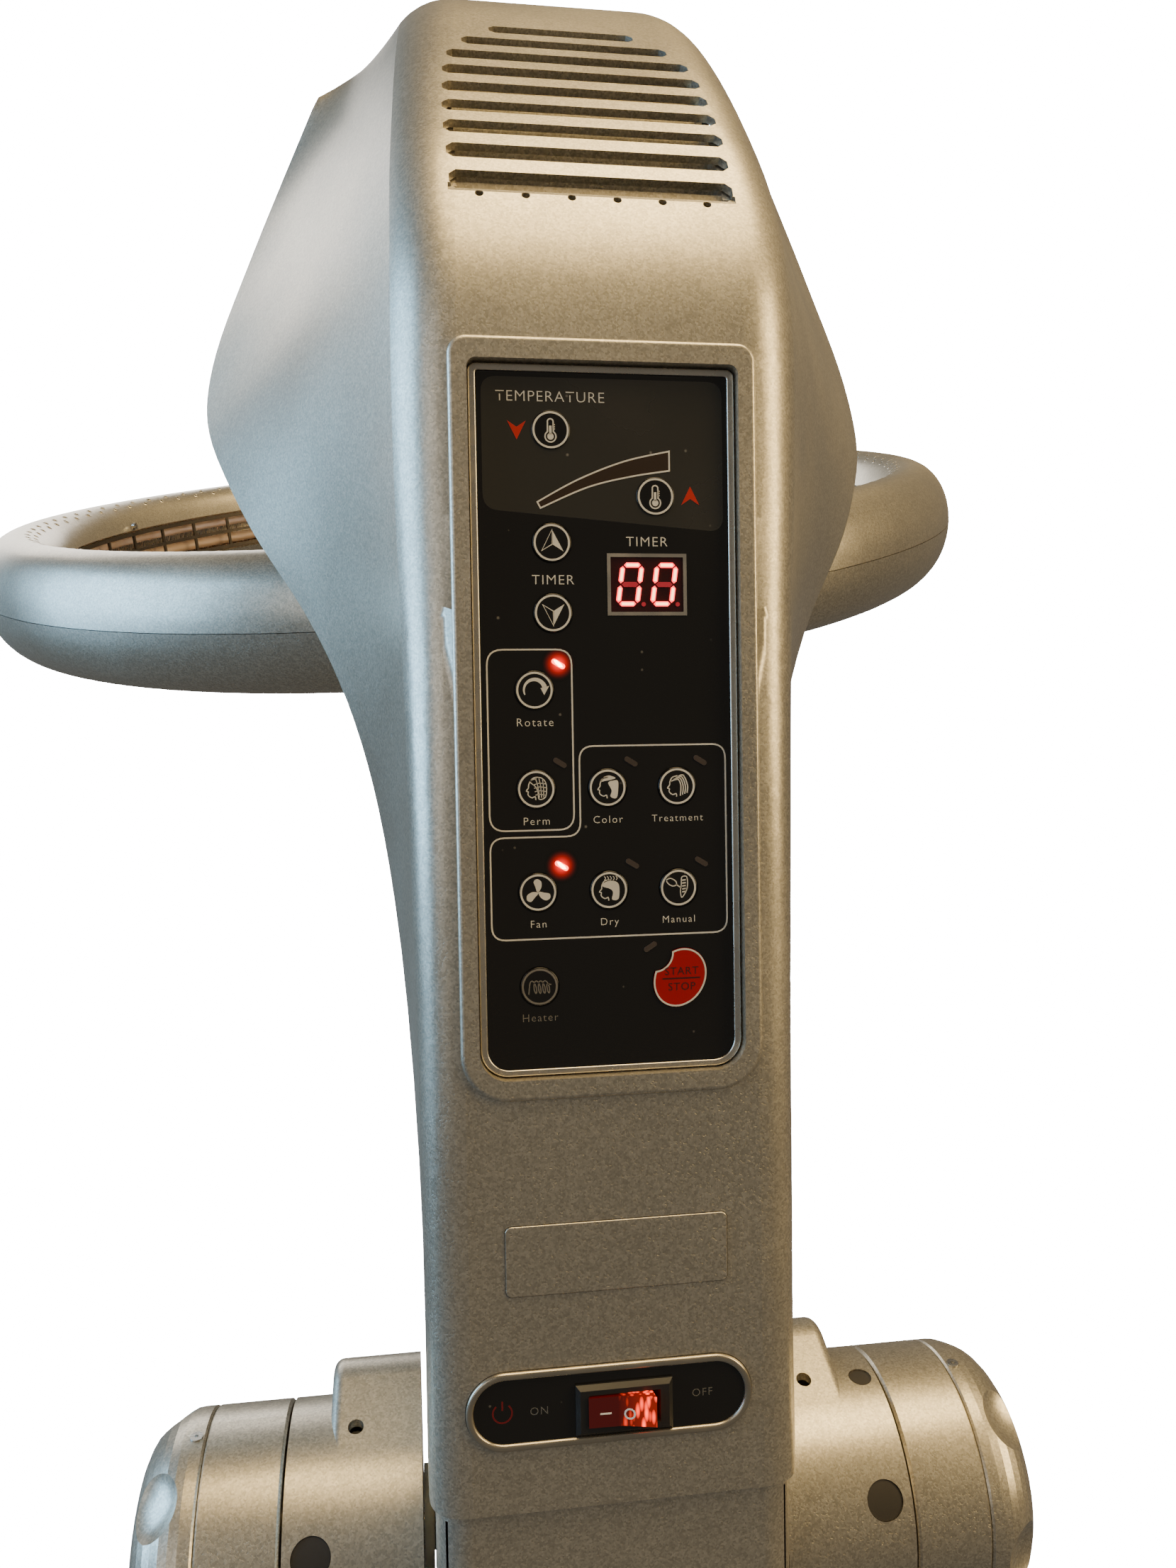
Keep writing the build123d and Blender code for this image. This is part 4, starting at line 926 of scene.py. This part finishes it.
def perforations():
    """Two rows of punched holes, each with a raised lip, on the ring's inner shoulder; inside each lip
    a dark disc is painted shade for the hole.
    """
    middle, right, out, up = ring_axes()
    hub = middle - out * RING_R
    lip_points = []
    lip_faces = []
    shade_points = []
    shade_faces = []
    for tube_deg, shift in HOLE_ROWS:
        t = math.radians(tube_deg)
        for k in range(HOLES):
            turn = 2 * math.pi * (k + shift) / HOLES
            spoke = right * math.cos(turn) + out * math.sin(turn)
            along = -right * math.sin(turn) + out * math.cos(turn)
            centre = middle + spoke * (RING_R + TUBE_A * math.cos(t)) + up * (TUBE_B * math.sin(t))
            normal = (spoke * (math.cos(t) / TUBE_A) + up * (math.sin(t) / TUBE_B)).normalized()
            if (centre - hub).length < ARM_REACH:
                continue
            rings = hole_rings(centre, normal, along)
            start = len(lip_points)
            for ring in rings:
                lip_points.extend(ring)
            for row in range(len(rings) - 1):
                for i in range(HOLE_SIDES):
                    j = (i + 1) % HOLE_SIDES
                    a = start + row * HOLE_SIDES
                    lip_faces.append((a + i, a + j, a + HOLE_SIDES + j, a + HOLE_SIDES + i))
            # a dark disc of painted shade inside the lip, for the hole's shaded inside
            start = len(shade_points)
            shade_points.extend(p + normal * (0.03 * MM) for p in rings[-1])
            shade_faces.append(tuple(range(start, start + HOLE_SIDES)))
    add_holes("perforation_lips", lip_points, lip_faces, PAINT, True)
    add_holes("perforation_painted_shade", shade_points, shade_faces, HOLE_SHADE, False)


def add_holes(name, points, faces, finish, soft):
    mesh = bpy.data.meshes.new(name)
    mesh.from_pydata(points, [], faces)
    mesh.materials.append(finish)
    mesh.polygons.foreach_set("use_smooth", [soft] * len(mesh.polygons))
    add_object(name, mesh, "halo_ring")


# ---- floor, lights and camera --------------------------------------------------------------------
FLOOR_SIZE = 12.0
BACKDROP_GLOW = 22.0  # of the floor and backdrop, so that they meet without a line
ROOM_COLOR = (1.0, 0.93, 0.82, 1.0)
ROOM_GLOW = 0.13
COOL = (0.36, 0.66, 1.0)
WARM = (1.0, 0.72, 0.34)
LAMPS = [  # name, place, width, height, power and colour
    ("window", (-2.3, 0.1, 1.0), 1.8, 1.8, 80.0, COOL),
    ("ceiling", (0.4, -0.35, 2.4), 1.6, 1.2, 62.0, WARM),
    ("warm_side", (2.1, -1.1, 1.2), 0.8, 1.6, 46.0, WARM),
    ("front_fill", (-1.3, -1.7, 0.9), 1.0, 1.4, 6.0, (1.0, 0.93, 0.84)),
    ("back", (-0.8, 2.2, 1.6), 1.6, 1.2, 22.0, (1.0, 0.95, 0.88)),
]


def pale_floor():
    """Floor that the camera sees, kept out of the gloss and the bounced light."""
    finish = moulded("pale_floor", (0.88, 0.88, 0.875), 0.6)
    shader = finish.node_tree.nodes["Principled BSDF"]
    shader.inputs["Emission Color"].default_value = (1.0, 1.0, 1.0, 1.0)
    shader.inputs["Emission Strength"].default_value = BACKDROP_GLOW
    z = cad_lo.z - 0.002
    a = FLOOR_SIZE
    mesh = bpy.data.meshes.new("floor")
    mesh.from_pydata([(-a, -a, z), (a, -a, z), (a, a, z), (-a, a, z)], [], [(0, 1, 2, 3)])
    mesh.materials.append(finish)
    floor = bpy.data.objects.new("floor", mesh)
    floor.visible_glossy = False
    floor.visible_diffuse = False
    bpy.context.scene.collection.objects.link(floor)


def background(tree, color, strength):
    node = tree.nodes.new("ShaderNodeBackground")
    node.inputs["Color"].default_value = color
    node.inputs["Strength"].default_value = strength
    return node.outputs[0]


def studio():
    """Bright backdrop over a dim warm room, with a cool window and warm ceiling light."""
    pale_floor()
    world = bpy.data.worlds.new("studio")
    world.use_nodes = True
    tree = world.node_tree
    seen = tree.nodes.new("ShaderNodeLightPath")
    mix = tree.nodes.new("ShaderNodeMixShader")
    tree.links.new(seen.outputs["Is Camera Ray"], mix.inputs[0])
    tree.links.new(background(tree, ROOM_COLOR, ROOM_GLOW), mix.inputs[1])
    tree.links.new(background(tree, (1.0, 1.0, 1.0, 1.0), BACKDROP_GLOW), mix.inputs[2])
    tree.links.new(mix.outputs[0], tree.nodes["World Output"].inputs["Surface"])
    bpy.context.scene.world = world
    middle = (cad_lo + cad_hi) / 2
    for name, place, width, height, power, color in LAMPS:
        lamp(name, place, middle, width, height, power, color)


def lamp(name, place, target, width, height, power, color):
    data = bpy.data.lights.new(name, "AREA")
    data.shape = "RECTANGLE"
    data.size = width
    data.size_y = height
    data.energy = power
    data.color = color
    obj = bpy.data.objects.new(name, data)
    obj.location = place
    obj.rotation_mode = "QUATERNION"
    obj.rotation_quaternion = (Vector(target) - Vector(place)).to_track_quat("-Z", "Y")
    bpy.context.scene.collection.objects.link(obj)


# Viewing angle: heading is turned from +Y towards +X, drop is below level.
CAMERA_PLACE = Vector((-0.0614, -0.4446, 0.4670))
CAMERA_HEADING = math.radians(8.29)
CAMERA_DROP = math.radians(1.92)
CAMERA_ROLL = math.radians(0.95)
CAMERA_LENS = 27.03


def camera():
    forward = Vector(
        (
            math.sin(CAMERA_HEADING) * math.cos(CAMERA_DROP),
            math.cos(CAMERA_HEADING) * math.cos(CAMERA_DROP),
            -math.sin(CAMERA_DROP),
        )
    )
    level = forward.cross(Vector((0, 0, 1))).normalized()
    down = forward.cross(level)
    right = level * math.cos(CAMERA_ROLL) + down * math.sin(CAMERA_ROLL)
    up = right.cross(forward)
    data = bpy.data.cameras.new("camera")
    data.lens = CAMERA_LENS
    data.sensor_width = 36.0
    data.clip_start = 0.01
    data.clip_end = 50.0
    obj = bpy.data.objects.new("camera", data)
    turn = Matrix((right, up, -forward)).transposed().to_4x4()
    obj.matrix_world = Matrix.Translation(CAMERA_PLACE) @ turn
    bpy.context.scene.collection.objects.link(obj)
    bpy.context.scene.camera = obj


paint_nodes()
print_keys()
print_panel()
print_start_key()
display_trim()
light_digits()
light_lamps()
print_switch()
print_rocker()
perforations()
studio()
camera()
